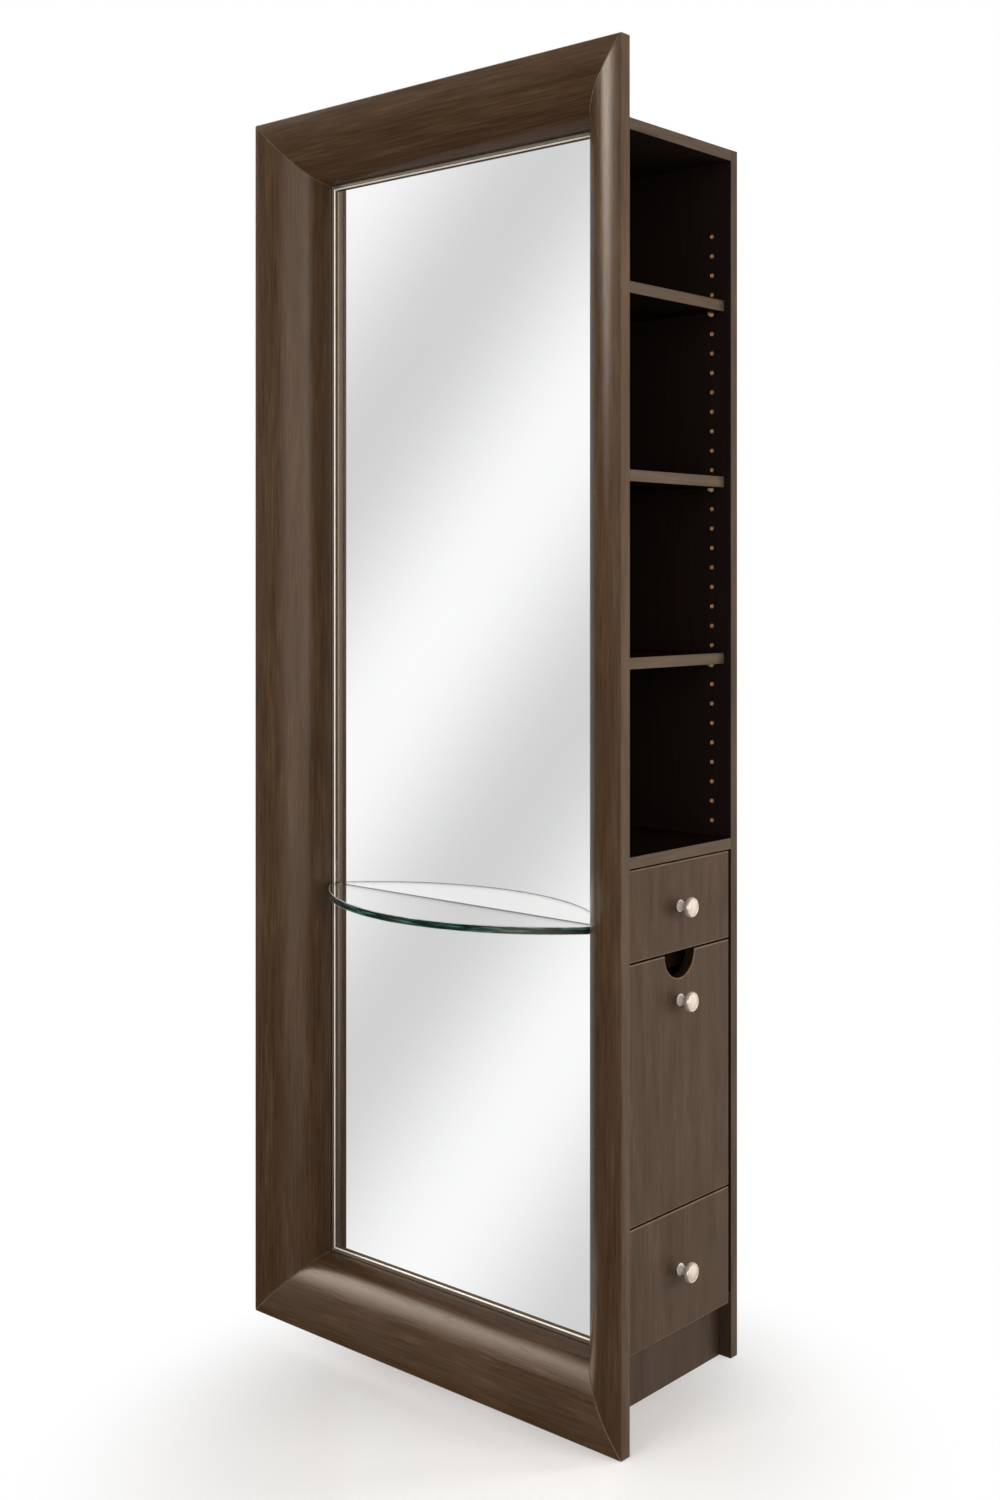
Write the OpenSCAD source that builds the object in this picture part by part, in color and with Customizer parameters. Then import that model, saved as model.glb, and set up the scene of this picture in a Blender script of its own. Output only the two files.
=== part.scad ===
// Salon styling station: a floor-standing framed mirror on the front of a tall, narrow storage cabinet.
// The front faces -Y, the back stands against the wall at +Y, and the storage opens to +X.
// Inside the modules y is the depth behind the frame's front plane; station() moves it to the origin.

/* [Mirror frame] */
// Overall width of the mirror frame
frame_w = 800; // [760:5:900]
// Overall height of the mirror frame
frame_h = 2060; // [2040:5:2200]
// Width of the moulding, from its outer edge to the sight edge
moulding_w = 107.5; // [104:0.5:115]
// Depth of the moulding, from the front plane back to the sight edge
moulding_d = 82.5; // [78:0.5:90]
// Roundness of the moulding's swept face, 2 being a quarter ellipse
moulding_round = 1.88; // [1.6:0.02:2.4]
// Thickness of the outer lip of the frame
lip_t = 20; // [14:1:26]
// Distance from the frame's outer edge to the seat behind the moulding
seat_inset = 72; // [66:1:80]
// Depth at which the hollow back of the moulding meets its seat
cove_d = 58; // [50:1:66]
// Width of the polished strip that shows between wood and mirror
trim_w = 10; // [6:1:14]
// Thickness of the polished strip
trim_t = 3.5; // [2.5:0.5:5]

/* [Mirror and glass shelf] */
// Thickness of the mirror
mirror_t = 5; // [4:0.5:8]
// Width of mirror covered by the moulding on each side
mirror_cover = 7; // [5:0.5:12]
// Thickness of the glass shelf
glass_t = 12; // [8:1:15]
// Height of the glass shelf's top face above the floor
glass_top = 746; // [725:1:770]
// Gap between the glass shelf and the moulding on each side
glass_gap = 8.2; // [6:0.2:14]
// Reach of the glass shelf in front of the frame
glass_reach = 61; // [50:1:66]
// Radius of the glass shelf's two rounded ends
glass_end_r = 12; // [10:1:18]
// Thickness of the soft strips that grip the glass
gasket_t = 1; // [0.5:0.25:2]
// Wall of the aluminium channel behind the mirror
channel_wall = 3; // [2:0.5:4]
// Height of each fixing flange of the channel
channel_flange = 16; // [12:1:24]

/* [Cabinet] */
// Distance from the top of the frame down to the top of the cabinet
cabinet_drop = 88; // [80:1:110]
// Distance from the frame's front plane to the wall
station_d = 405; // [385:1:430]
// Thickness of the cabinet boards
board_t = 18; // [16:1:19]
// Depth of the storage behind its open side
bay_depth = 400; // [380:5:440]
// Height of the recessed plinth
plinth_h = 91; // [80:1:110]
// Setback of the plinth and of the hidden board edges behind the side of the cabinet
plinth_recess = 22; // [21:1:30]
// Height of the fixed deck's top face
deck_top = 849.5; // [846:0.5:856]
// Size of the wall anchor holes
anchor_hole_d = 7; // [5:0.5:9]

/* [Adjustable shelves] */
// Spacing of the shelf pin sockets
pin_pitch = 32; // [30:1:34]
// Room above the highest socket
pin_headroom = 110; // [100:2:140]
// Height of the lowest socket above the fixed deck
first_pin = 25.5; // [24:0.5:32]
// Distance of the outer sockets from the open side
pin_inset = 37; // [32:1:45]
// Distance between the outer and inner columns of sockets
pin_column_gap = 320; // [280:4:320]
// Diameter of a shelf pin
pin_d = 5; // [4:0.5:6]
// Setback of the shelves behind the open side
shelf_setback = 12; // [8:1:16]
// Side clearance at each end of a shelf
shelf_gap = 1; // [0.5:0.5:2]

/* [Fronts and knobs] */
// Gap around every drawer and bin front
front_gap = 3; // [3:0.5:4]
// Setback of the fronts behind the side of the cabinet
front_recess = 2; // [1:0.5:3]
// Height of the gap between the top drawer and the tool bin
upper_gap_z = 686; // [680:1:692]
// Height of the gap between the tool bin and the bottom drawer
lower_gap_z = 283; // [278:1:290]
// Radius of the half-round notch in the tool bin's front
notch_r = 40; // [30:1:45]
// Distance of the tool bin's knob below the top of its front
bin_knob_drop = 74.5; // [68:0.5:90]
// Diameter of a knob's head
knob_d = 32; // [26:1:36]
// Projection of a knob
knob_h = 28; // [26:1:32]
// Diameter of the screw that holds a knob
knob_screw_d = 4; // [3:0.5:5]

/* [Drawers] */
// Thickness of drawer and bin side boards
side_t = 12; // [10:1:14]
// Thickness of a drawer bottom
bottom_t = 6; // [4:1:8]
// Gap between a drawer box and the inner back
box_gap = 30; // [20:2:50]
// Height of the top drawer's box
top_box_h = 100; // [80:1:104]
// Height of the bottom drawer's box
bottom_box_h = 140; // [100:1:150]
// Gap between a drawer slide and the inner back; a slide opens by its length less 40
slide_gap = 36; // [30:2:60]
// Height of a drawer slide
slide_h = 45; // [35:1:50]
// Thickness of a drawer slide, cabinet member to drawer member
slide_t = 12.7; // [12:0.1:14]
// Sheet thickness of the slide members
slide_sheet = 1.2; // [1:0.1:1.5]

/* [Tilting tool bin] */
// Height of the bin's box above its pivot
bin_box_h = 280; // [260:1:290]
// Depth of the bin's box behind its front
bin_box_d = 210; // [200:1:220]
// Angle to which the bin tilts out
bin_tilt = 30; // [20:1:32]
// Height of the pivot above the lower edge of the bin's front
pivot_rise = 20; // [18:1:26]
// Diameter of the pivot pins
pivot_d = 8; // [6:0.5:10]
// Wall of the pivot bushes
bush_wall = 2; // [1.5:0.25:3]

/* [Hidden] */
$fn = 64;

// Colours of the finishes
wood_dark = "#4a382a";
wood_edge = "#6b5646";
wood_inside = "#2a1d15";
nickel = "#d6cdbf";
steel = "#b9bcc0";

// Clearances between pieces
fit = 0.2;          // between a board or strip and the groove that holds it
screw_fit = 0.05;   // around a screw's shank
running_fit = 0.05; // radial, between pivot pin and bush
slide_fit = 0.4;    // between the nested slide members
air = 0.3;          // between pieces that pass or close on each other
bore_over = 1;      // how far a cutting tool runs past a face
rabbet_gap = 0.5;   // around the edge of the mirror
sweep_gap = 1.5;    // beyond the swing of the bin's lower edge
bin_side_gap = 8;   // between the bin's cheeks and the bay walls
box_lift = 6;       // below a drawer box

// Frame and cabinet planes, as depths behind the front plane
mirror_face = moulding_d + trim_t;
wall_front = mirror_face + mirror_t;
bay_y0 = wall_front + board_t;
bay_y1 = station_d - board_t;
bay_w = bay_y1 - bay_y0;
bay_mid = (bay_y0 + bay_y1) / 2;
origin_y = (station_d - glass_reach) / 2;

// Cabinet planes across the width
side_x = frame_w / 2 - seat_inset;
bay_x0 = side_x - bay_depth;
plinth_x = side_x - plinth_recess;

// Levels of the boards
step_under_front = 0.5;
cabinet_h = frame_h - cabinet_drop;
deck_z = deck_top - board_t;
top_z = cabinet_h - board_t;
divider_z = upper_gap_z + front_gap / 2 + step_under_front;
bin_deck_z = lower_gap_z - board_t / 2;
bottom_deck_top = plinth_h + board_t;

// Drawer and bin fronts
front_x1 = side_x - front_recess;
front_x0 = front_x1 - board_t;
front_y0 = bay_y0 + front_gap;
front_w = bay_w - 2 * front_gap;
top_front = [upper_gap_z + front_gap / 2, deck_z - front_gap];
bin_span = [lower_gap_z + front_gap / 2, upper_gap_z - front_gap / 2];
bottom_front = [plinth_h, lower_gap_z - front_gap / 2];
top_knob_z = (top_front[0] + top_front[1]) / 2;
bottom_knob_z = (bottom_front[0] + bottom_front[1]) / 2;
bin_knob_z = bin_span[1] - bin_knob_drop;

// Drawer boxes
box_y0 = bay_y0 + slide_t;
box_w = bay_w - 2 * slide_t;
box_x0 = bay_x0 + box_gap;
top_box_z = divider_z + board_t + box_lift;
bottom_box_z = bottom_deck_top + box_lift;
groove_d = side_t / 2;
groove_z = 10;
slide_setback = 4;
slide_front = front_x0 - slide_setback;
slide_back = bay_x0 + slide_gap;

// Tool bin: pivot, the radius its rear corner sweeps, and the stop that this corner meets
pivot_x = (front_x0 + front_x1) / 2;
pivot_z = bin_span[0] + pivot_rise;
pin_in_front = 15;
bush_len = 12;
bush_flange = 1.5;
bush_flange_w = 2;
bush_flange_d = pivot_d + 2 * (bush_wall + bush_flange_w);
bin_w = bay_w - 2 * bin_side_gap;
bin_y0 = bay_y0 + bin_side_gap;
corner_reach = pivot_x - front_x0 + bin_box_d;
sweep_r = norm([corner_reach, bin_box_h]);
stop_bite = 4;
stop_slack = 0.5;
stop_r = sweep_r - stop_bite;
stop_a = acos(bin_box_h / stop_r) - bin_tilt - stop_slack;
stop_x = pivot_x - stop_r * sin(stop_a);
stop_z = pivot_z + stop_r * cos(stop_a);
bin_deck_x = pivot_x - norm([board_t / 2, pivot_rise]) - sweep_gap;
catch_t = 10;
catch_w = 30;
catch_h = 14;
strike_t = 1.5;
strike_inset = 1;
catch_inset = 40;
catch_y = bay_y0 + catch_inset;

// Glass shelf: the ends are circles tangent to the front arc and to the mirror's face
glass_z = glass_top - glass_t;
glass_depth = mirror_face + glass_reach;
glass_end_x = frame_w / 2 - moulding_w - glass_gap - glass_end_r;
glass_r = (pow(glass_end_x, 2) + glass_depth * (glass_depth - 2 * glass_end_r))
    / (2 * (glass_depth - 2 * glass_end_r));
glass_cy = glass_r - glass_reach;
glass_chord_h = glass_cy - mirror_face;
channel_back = bay_y0 - channel_wall;
tongue_back = channel_back - gasket_t;
channel_h = glass_t + 2 * (gasket_t + channel_wall);
channel_z = glass_z - gasket_t - channel_wall;
channel_len = 2 * (glass_end_x + channel_wall);
flange_t = 2.5;

// Shelf pins and their sockets
socket_wall = 0.9;
socket_d = pin_d + 2 * socket_wall;
socket_rim_w = 2;
socket_rim_d = pin_d + 2 * socket_rim_w;
socket_len = 10;
socket_rim = 0.6;
socket_bottom = 2;
pin_out = 9;
pin_collar_t = 1.4;
pin_collar_w = 1.5;
shelf_count = 3;
pin_columns = [side_x - pin_inset, side_x - pin_inset - pin_column_gap];
pin_rows = floor((top_z - pin_headroom - deck_top - first_pin) / pin_pitch) + 1;
rows_apart = round((top_z - deck_top) / pin_pitch / (shelf_count + 1));
shelf_rows = [for (i = [1:shelf_count]) i * rows_apart];

// Screws
screw_d = 4;
screw_head_d = 8;
screw_head_h = 3;
screw_bite = 17;
screw_line = (seat_inset + moulding_w - mirror_cover) / 2;
frame_screw_rows = 6;
frame_screw_columns = 3;
frame_screw_end = 200;
frame_screw_inset = 180;
frame_screw_spread = frame_w / 2 - frame_screw_inset;
channel_screw_len = 14;
channel_screw_inset = 47;
channel_screw_spread = glass_end_x - channel_screw_inset;
channel_screw_columns = 4;
carcass_bite = 30;
carcass_screw_inset = 78;
bay_screw_inset = 60;
carcass_spread = [carcass_screw_inset - side_x, 0, side_x - carcass_screw_inset];
bay_spread = [bay_x0 + bay_screw_inset, side_x - bay_screw_inset];

// Wall anchors: inset from the inner back, height above the deck, and drop below the top
anchor_inset = 20;
anchor_span = 140;
anchor_rise = 50.5;
anchor_drop = 72;
anchor_x = [bay_x0 + anchor_inset, bay_x0 + anchor_inset + anchor_span];
anchor_z = [deck_top + anchor_rise, cabinet_h - anchor_drop];

// Height of the centre of a shelf pin
function pin_z(row) = deck_top + first_pin + (row - 1) * pin_pitch;

// Even steps from a to b, with both ends
function steps(a, b, n) = [for (i = [0:n - 1]) a + (b - a) * i / (n - 1)];

// Moves the model so that y = 0 is the middle of its overall depth
module station() {
    translate([0, -origin_y, 0]) children();
}

// A board between two opposite corners
module board(low, high) {
    translate(low) cube(high - low);
}

// A cylinder along +Y
module rod_y(d, len) {
    rotate([-90, 0, 0]) cylinder(d = d, h = len);
}

// A countersunk wood screw along +Y, head at y = 0; grow widens it into its clearance hole
module wood_screw(len, grow = 0) {
    rotate([-90, 0, 0]) union() {
        cylinder(d = screw_d + 2 * grow, h = len);
        cylinder(d1 = screw_head_d + 2 * grow, d2 = screw_d + 2 * grow, h = screw_head_h);
    }
}

// Section of the moulding: x is the inset from the outer edge, y the depth
module moulding_section() {
    cove_round = 2.2;
    face_steps = 28;
    cove_steps = 10;
    shape = 2 / moulding_round;
    face = [for (i = [0:face_steps]) let (t = 90 * i / face_steps)
        [moulding_w * pow(sin(t), shape), moulding_d * (1 - pow(cos(t), shape))]];
    cove = [for (i = [0:cove_steps]) let (u = 1 - i / cove_steps)
        [seat_inset * u, lip_t + (cove_d - lip_t) * pow(u, cove_round)]];
    rabbet = moulding_w - mirror_cover - rabbet_gap;
    polygon(concat(face, [[rabbet, moulding_d], [rabbet, wall_front], [seat_inset, wall_front]], cove));
}

// A strip of the given section standing along +Z, with both ends cut to 45 degrees
module mitred(len, width) {
    intersection() {
        linear_extrude(len) children();
        translate([0, station_d, 0]) rotate([90, 0, 0]) linear_extrude(station_d + bore_over)
            polygon([[0, 0], [width, width], [width, len - width], [0, len]]);
    }
}

// Places a strip that stands along +Z on one side of the frame
module on_side(side) {
    if (side == "left") translate([-frame_w / 2, 0, 0]) children();
    if (side == "right") mirror([1, 0, 0]) translate([-frame_w / 2, 0, 0]) children();
    if (side == "bottom") translate([frame_w / 2, 0, 0]) rotate([0, -90, 0]) children();
    if (side == "top") translate([frame_w / 2, 0, frame_h]) rotate([0, -90, 0])
        mirror([1, 0, 0]) children();
}

// Where the screws between front wall and moulding stand, as x and z
function frame_screws() = concat(
    [for (x = [-1, 1], z = steps(frame_screw_end, frame_h - frame_screw_end, frame_screw_rows))
        [x * (frame_w / 2 - screw_line), z]],
    [for (z = [screw_line, frame_h - screw_line],
        x = steps(-frame_screw_spread, frame_screw_spread, frame_screw_columns)) [x, z]]
);

module frame_screw_group(grow = 0) {
    for (p = frame_screws()) translate([p[0], bay_y0, p[1]])
        mirror([0, 1, 0]) wood_screw(board_t + screw_bite, grow);
}

module moulding(side, len) {
    color(wood_dark) station() difference() {
        on_side(side) mitred(len, moulding_w) moulding_section();
        frame_screw_group(screw_fit);
    }
}

module moulding_left() { moulding("left", frame_h); }
module moulding_right() { moulding("right", frame_h); }
module moulding_top() { moulding("top", frame_w); }
module moulding_bottom() { moulding("bottom", frame_w); }

module moulding_screws() {
    color(steel) station() frame_screw_group();
}

// Polished strip that covers the edge of the mirror; its back lies on the glass
module trim_section() {
    a0 = moulding_w - mirror_cover;
    a1 = moulding_w + trim_w;
    bevel = 0.8 * trim_w;
    edge = 0.5;
    polygon([[a0, moulding_d], [a1 - bevel, moulding_d], [a1, mirror_face - edge],
        [a1, mirror_face], [a0, mirror_face]]);
}

module sight_trim() {
    inner = moulding_w + trim_w;
    color(nickel) station() {
        on_side("left") mitred(frame_h, inner) trim_section();
        on_side("right") mitred(frame_h, inner) trim_section();
        on_side("top") mitred(frame_w, inner) trim_section();
        on_side("bottom") mitred(frame_w, inner) trim_section();
    }
}

// Slot in the mirror for the tongue of the glass shelf
module tongue_slot() {
    board([-glass_end_x - fit, mirror_face - bore_over, glass_z - fit],
        [glass_end_x + fit, wall_front + bore_over, glass_top + fit]);
}

// One sheet of mirror behind the polished strip
module mirror_sheet() {
    edge = moulding_w - mirror_cover;
    color("#c9ced2") station() difference() {
        board([edge - frame_w / 2, mirror_face, edge], [frame_w / 2 - edge, wall_front, frame_h - edge]);
        tongue_slot();
    }
}

// Points of an arc from angle a to angle b, with both ends
function arc(centre, r, a, b, n) = [for (t = steps(a, b, n)) centre + r * [cos(t), sin(t)]];

// Points mirrored to the other side of the middle, in reverse order
function flipped(points) = [for (i = [len(points) - 1:-1:0]) [-points[i][0], points[i][1]]];

// Outline of the glass: a circle's segment with rounded ends, and a tongue into the channel
module glass_outline() {
    spoke_a = atan2(-glass_chord_h - glass_end_r, glass_end_x);
    right_end = arc([glass_end_x, mirror_face - glass_end_r], glass_end_r, 90, spoke_a, 18);
    right_front = arc([0, glass_cy], glass_r, spoke_a, -90, 36);
    half = concat([[glass_end_x, tongue_back]], right_end,
        [for (i = [1:len(right_front) - 2]) right_front[i]]);
    polygon(concat(half, [[0, glass_cy - glass_r]], flipped(half)));
}

module glass_shelf() {
    color("#9fc4b8", 0.5) station() translate([0, 0, glass_z]) linear_extrude(glass_t) glass_outline();
}

// Section of the channel across its length: x is the depth, y the height above channel_z
module channel_section() {
    depth = bay_y0 - wall_front;
    difference() {
        union() {
            square([depth, channel_h]);
            translate([0, -channel_flange]) square([flange_t, channel_h + 2 * channel_flange]);
        }
        translate([-bore_over, channel_wall])
            square([depth - channel_wall + bore_over, channel_h - 2 * channel_wall]);
    }
}

// A section with x as depth and y as height, carried along +X
module along_x(x0, x1) {
    translate([x0, 0, 0]) rotate([90, 0, 90]) linear_extrude(x1 - x0) children();
}

function channel_screw_spots() = [for (x = steps(-channel_screw_spread, channel_screw_spread,
        channel_screw_columns),
    z = [channel_z - channel_flange / 2, channel_z + channel_h + channel_flange / 2]) [x, z]];

module channel_screw_group(grow = 0) {
    for (p = channel_screw_spots()) translate([p[0], wall_front, p[1]]) wood_screw(channel_screw_len, grow);
}

module shelf_channel() {
    color("silver") station() difference() {
        translate([0, wall_front, channel_z]) along_x(-channel_len / 2, channel_len / 2) channel_section();
        channel_screw_group(screw_fit);
    }
}

module channel_screws() {
    color(steel) station() channel_screw_group();
}

// U-shaped strip around the tongue of the glass
module shelf_gasket() {
    color("#2b2b2b") station() difference() {
        board([-glass_end_x, wall_front, glass_z - gasket_t],
            [glass_end_x, channel_back, glass_top + gasket_t]);
        board([-glass_end_x - bore_over, wall_front - bore_over, glass_z],
            [glass_end_x + bore_over, tongue_back, glass_top]);
    }
}

// Places a piece at every socket of the given rows, on both walls of the bay
module at_sockets(rows) {
    for (x = pin_columns, row = rows) {
        translate([x, bay_y0, pin_z(row)]) children();
        translate([x, bay_y1, pin_z(row)]) mirror([0, 1, 0]) children();
    }
}

// Recess for a socket, cut from the bay side towards -Y
module socket_recess() {
    translate([0, -socket_len - fit, 0]) rod_y(socket_d, socket_len + fit + bore_over);
}

// One flanged metal socket; its rim lies on the board
module socket() {
    rotate([90, 0, 0]) rotate_extrude() translate([pin_d / 2, 0])
        polygon([[0, -socket_rim], [socket_rim_w, -socket_rim], [socket_rim_w, 0],
            [socket_wall, 0], [socket_wall, socket_len], [0, socket_len]]);
}

module pin_sockets() {
    color(nickel) station() at_sockets([1:pin_rows]) socket();
}

// One shelf pin: a shank in the socket, a collar on its rim and a stub under the shelf
module shelf_pin() {
    rotate([-90, 0, 0]) {
        translate([0, 0, socket_bottom - socket_len])
            cylinder(d = pin_d - 2 * screw_fit, h = socket_len + pin_out - socket_bottom);
        translate([0, 0, socket_rim]) cylinder(d = pin_d + 2 * pin_collar_w, h = pin_collar_t);
    }
}

module shelf_pins() {
    color(nickel) station() at_sockets(shelf_rows) difference() {
        shelf_pin();
        translate([-pin_d, -bore_over, pin_d / 2]) cube([2 * pin_d, pin_out + 2 * bore_over, pin_d]);
    }
}

// Holes through the rear panel for the screws into the wall
module anchor_holes() {
    for (x = anchor_x, z = anchor_z) translate([x, bay_y1 - bore_over, z])
        rod_y(anchor_hole_d, board_t + 2 * bore_over);
}

// Levels of the boards that the long panels carry, as middle height and the x range of their screws
function carcass_rows() = [
    [top_z + board_t / 2, carcass_spread],
    [deck_z + board_t / 2, bay_spread],
    [divider_z + board_t / 2, bay_spread],
    [bin_deck_z + board_t / 2, bay_spread],
    [plinth_h + board_t / 2, carcass_spread]
];

// Screws through the rear panel into the boards' ends
module carcass_screw_group(grow = 0) {
    for (r = carcass_rows(), x = r[1]) translate([x, station_d, r[0]])
        mirror([0, 1, 0]) wood_screw(board_t + carcass_bite, grow);
}

module carcass_screws() {
    color(steel) station() carcass_screw_group();
}

module bush_seats() {
    for (s = [0, 1]) translate([pivot_x, s * (bay_y0 + bay_y1), pivot_z]) mirror([0, s, 0])
        translate([0, bay_y0 - bush_len, 0]) rod_y(pivot_d + 2 * bush_wall, bush_len + bore_over);
}

module front_wall() {
    slot_z = channel_z - fit;
    slot_h = channel_h + 2 * fit;
    half = channel_len / 2 + fit;
    color(wood_inside) station() difference() {
        board([-side_x, wall_front, 0], [side_x, bay_y0, frame_h - seat_inset]);
        board([-half, wall_front - bore_over, slot_z], [half, bay_y0 + bore_over, slot_z + slot_h]);
        board([-half, wall_front - bore_over, slot_z - channel_flange],
            [half, wall_front + flange_t, slot_z + slot_h + channel_flange]);
        frame_screw_group(screw_fit);
        channel_screw_group(screw_fit);
        for (x = pin_columns, row = [1:pin_rows]) translate([x, bay_y0, pin_z(row)]) socket_recess();
        bush_seats();
    }
}

module rear_panel() {
    color(wood_dark) station() difference() {
        board([-side_x, bay_y1, 0], [side_x, station_d, cabinet_h]);
        for (x = pin_columns, row = [1:pin_rows])
            translate([x, bay_y1, pin_z(row)]) mirror([0, 1, 0]) socket_recess();
        anchor_holes();
        carcass_screw_group(screw_fit);
        bush_seats();
    }
}

// A level board between front wall and rear panel, drilled for its screws
module level_board(x0, x1, z, finish) {
    color(finish) station() difference() {
        board([x0, bay_y0, z], [x1, bay_y1, z + board_t]);
        carcass_screw_group(screw_fit);
    }
}

module top_panel() { level_board(-side_x, side_x, top_z, wood_edge); }
module fixed_deck() { level_board(bay_x0, side_x, deck_z, wood_edge); }
module drawer_divider() { level_board(bay_x0, plinth_x, divider_z, wood_inside); }
module bin_deck() { level_board(bay_x0, bin_deck_x, bin_deck_z, wood_inside); }
module bottom_deck() { level_board(board_t - side_x, plinth_x, plinth_h, wood_inside); }

// An upright board between front wall and rear panel
module upright(x0, z0, z1, finish) {
    color(finish) station() board([x0, bay_y0, z0], [x0 + board_t, bay_y1, z1]);
}

module left_panel() { upright(-side_x, 0, top_z, wood_dark); }
module inner_back() { upright(bay_x0 - board_t, bottom_deck_top, top_z, wood_inside); }
module toe_kick() { upright(plinth_x - board_t, 0, plinth_h, wood_dark); }

// An adjustable shelf lies on the flat tops of its four pins
module loose_shelf(row) {
    z = pin_z(row) + pin_d / 2;
    color(wood_edge) station() board([bay_x0 + shelf_gap, bay_y0 + shelf_gap, z],
        [side_x - shelf_setback, bay_y1 - shelf_gap, z + board_t]);
}

module shelf_lower() { loose_shelf(shelf_rows[0]); }
module shelf_middle() { loose_shelf(shelf_rows[1]); }
module shelf_upper() { loose_shelf(shelf_rows[2]); }

// Round knob along +X with its foot at the origin: flared foot, waist, and a dished mushroom head
module knob_shape() {
    head_r = knob_d / 2;
    foot_r = 9.5;
    foot_edge = 1.2;
    foot_h = 3.2;
    neck_r = 5;
    flare = 1.6;
    bell_h = 4;
    head_h = 7;
    rim_w = 2.5;
    rim_h = 4.5;
    step_w = 0.8;
    step_h = 0.5;
    dome_steps = 8;
    rim_z = knob_h - head_h;
    face_r = head_r - rim_w - 2 * step_w;
    face_z = rim_z + rim_h - step_h;
    foot = [[0, 0], [foot_r, 0], [foot_r, foot_edge],
        [(foot_r + neck_r + flare) / 2, (foot_edge + foot_h) / 2]];
    waist = [for (u = [0:0.25:1])
        [neck_r + flare * (1 - sin(90 * u)), foot_h + (rim_z - bell_h - foot_h) * u]];
    bell = [for (a = [0:15:90]) [neck_r + 1 + (head_r - neck_r - 1) * sin(a), rim_z - bell_h * cos(a)]];
    rim = [for (a = [15:15:75]) [head_r - rim_w + rim_w * cos(a), rim_z + rim_h * sin(a)]];
    crown = [[head_r - rim_w - step_w, rim_z + rim_h], [face_r, face_z]];
    dome = [for (i = [1:dome_steps]) let (u = 1 - i / dome_steps)
        [face_r * u, face_z + (knob_h - face_z) * (1 - u * u)]];
    rotate([0, 90, 0]) difference() {
        rotate_extrude() polygon(concat(foot, waist, bell, rim, crown, dome));
        translate([0, 0, -bore_over]) cylinder(d = knob_screw_d + 2 * screw_fit, h = knob_h / 2 + bore_over);
    }
}

// Pan-head machine screw along +X, its head behind a front
module knob_screw_shape() {
    end_gap = 1;
    head_h = 2.4;
    rotate([0, 90, 0]) {
        cylinder(d = knob_screw_d, h = board_t + knob_h / 2 - end_gap);
        translate([0, 0, -head_h]) cylinder(d = 2 * knob_screw_d, h = head_h);
    }
}

module knob(z) {
    color(nickel) station() translate([front_x1, bay_mid, z]) knob_shape();
}

module knob_screw(z) {
    color(steel) station() translate([front_x0, bay_mid, z]) knob_screw_shape();
}

module knob_hole(z) {
    translate([front_x0 - bore_over, bay_mid, z]) rotate([0, 90, 0])
        cylinder(d = knob_screw_d + 2 * screw_fit, h = board_t + 2 * bore_over);
}

// A drawer front between two levels
module drawer_front(span, knob_z) {
    color(wood_dark) station() difference() {
        board([front_x0, front_y0, span[0]], [front_x1, front_y0 + front_w, span[1]]);
        knob_hole(knob_z);
    }
}

// The two sides of a drawer box, grooved for the bottom
module drawer_sides(z, h) {
    color(wood_inside) station() for (s = [0, 1]) translate([0, s * 2 * bay_mid, 0]) mirror([0, s, 0])
        difference() {
            board([box_x0, box_y0, z], [front_x0, box_y0 + side_t, z + h]);
            board([box_x0 - bore_over, box_y0 + groove_d, z + groove_z],
                [front_x0 + bore_over, box_y0 + side_t + bore_over, z + groove_z + bottom_t + fit]);
        }
}

module drawer_back(z, h) {
    color(wood_inside) station() board([box_x0, box_y0 + side_t, z + groove_z + bottom_t],
        [box_x0 + side_t, box_y0 + box_w - side_t, z + h]);
}

module drawer_bottom(z) {
    inset = groove_d + fit;
    color(wood_inside) station() board([box_x0, box_y0 + inset, z + groove_z],
        [front_x0, box_y0 + box_w - inset, z + groove_z + bottom_t]);
}

// One slide member: a C section whose web lies at depth y0 and whose flanges run to depth y1
module slide_member(y0, y1, h, x0, x1, z) {
    t = slide_sheet;
    web = y1 > y0 ? [y0, y0 + t] : [y0 - t, y0];
    lips = y1 > y0 ? [y0, y1] : [y1, y0];
    board([x0, web[0], z - h / 2], [x1, web[1], z + h / 2]);
    for (s = [-1, 1]) {
        mid = z + s * (h - t) / 2;
        board([x0, lips[0], mid - t / 2], [x1, lips[1], mid + t / 2]);
    }
}

// Both slides of a drawer: level 0 is the cabinet rail, 1 the middle member, 2 the drawer runner
module slide_pair(level, z) {
    step = slide_sheet + slide_fit;
    h = slide_h - 2 * level * step;
    lip_end = slide_t - slide_sheet - slide_fit;
    color(steel) station() for (s = [0, 1]) translate([0, s * 2 * bay_mid, 0]) mirror([0, s, 0]) {
        if (level == 2)
            slide_member(box_y0, bay_y0 + 2 * step, h, slide_back, slide_front, z);
        else
            slide_member(bay_y0 + level * step, bay_y0 + lip_end, h, slide_back, slide_front, z);
    }
}

module top_drawer_front() { drawer_front(top_front, top_knob_z); }
module top_drawer_sides() { drawer_sides(top_box_z, top_box_h); }
module top_drawer_back() { drawer_back(top_box_z, top_box_h); }
module top_drawer_bottom() { drawer_bottom(top_box_z); }
module top_drawer_knob() { knob(top_knob_z); }
module top_drawer_knob_screw() { knob_screw(top_knob_z); }
module top_drawer_runners() { slide_pair(2, top_box_z + top_box_h / 2); }
module top_slide_middles() { slide_pair(1, top_box_z + top_box_h / 2); }
module top_slide_rails() { slide_pair(0, top_box_z + top_box_h / 2); }

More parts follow.
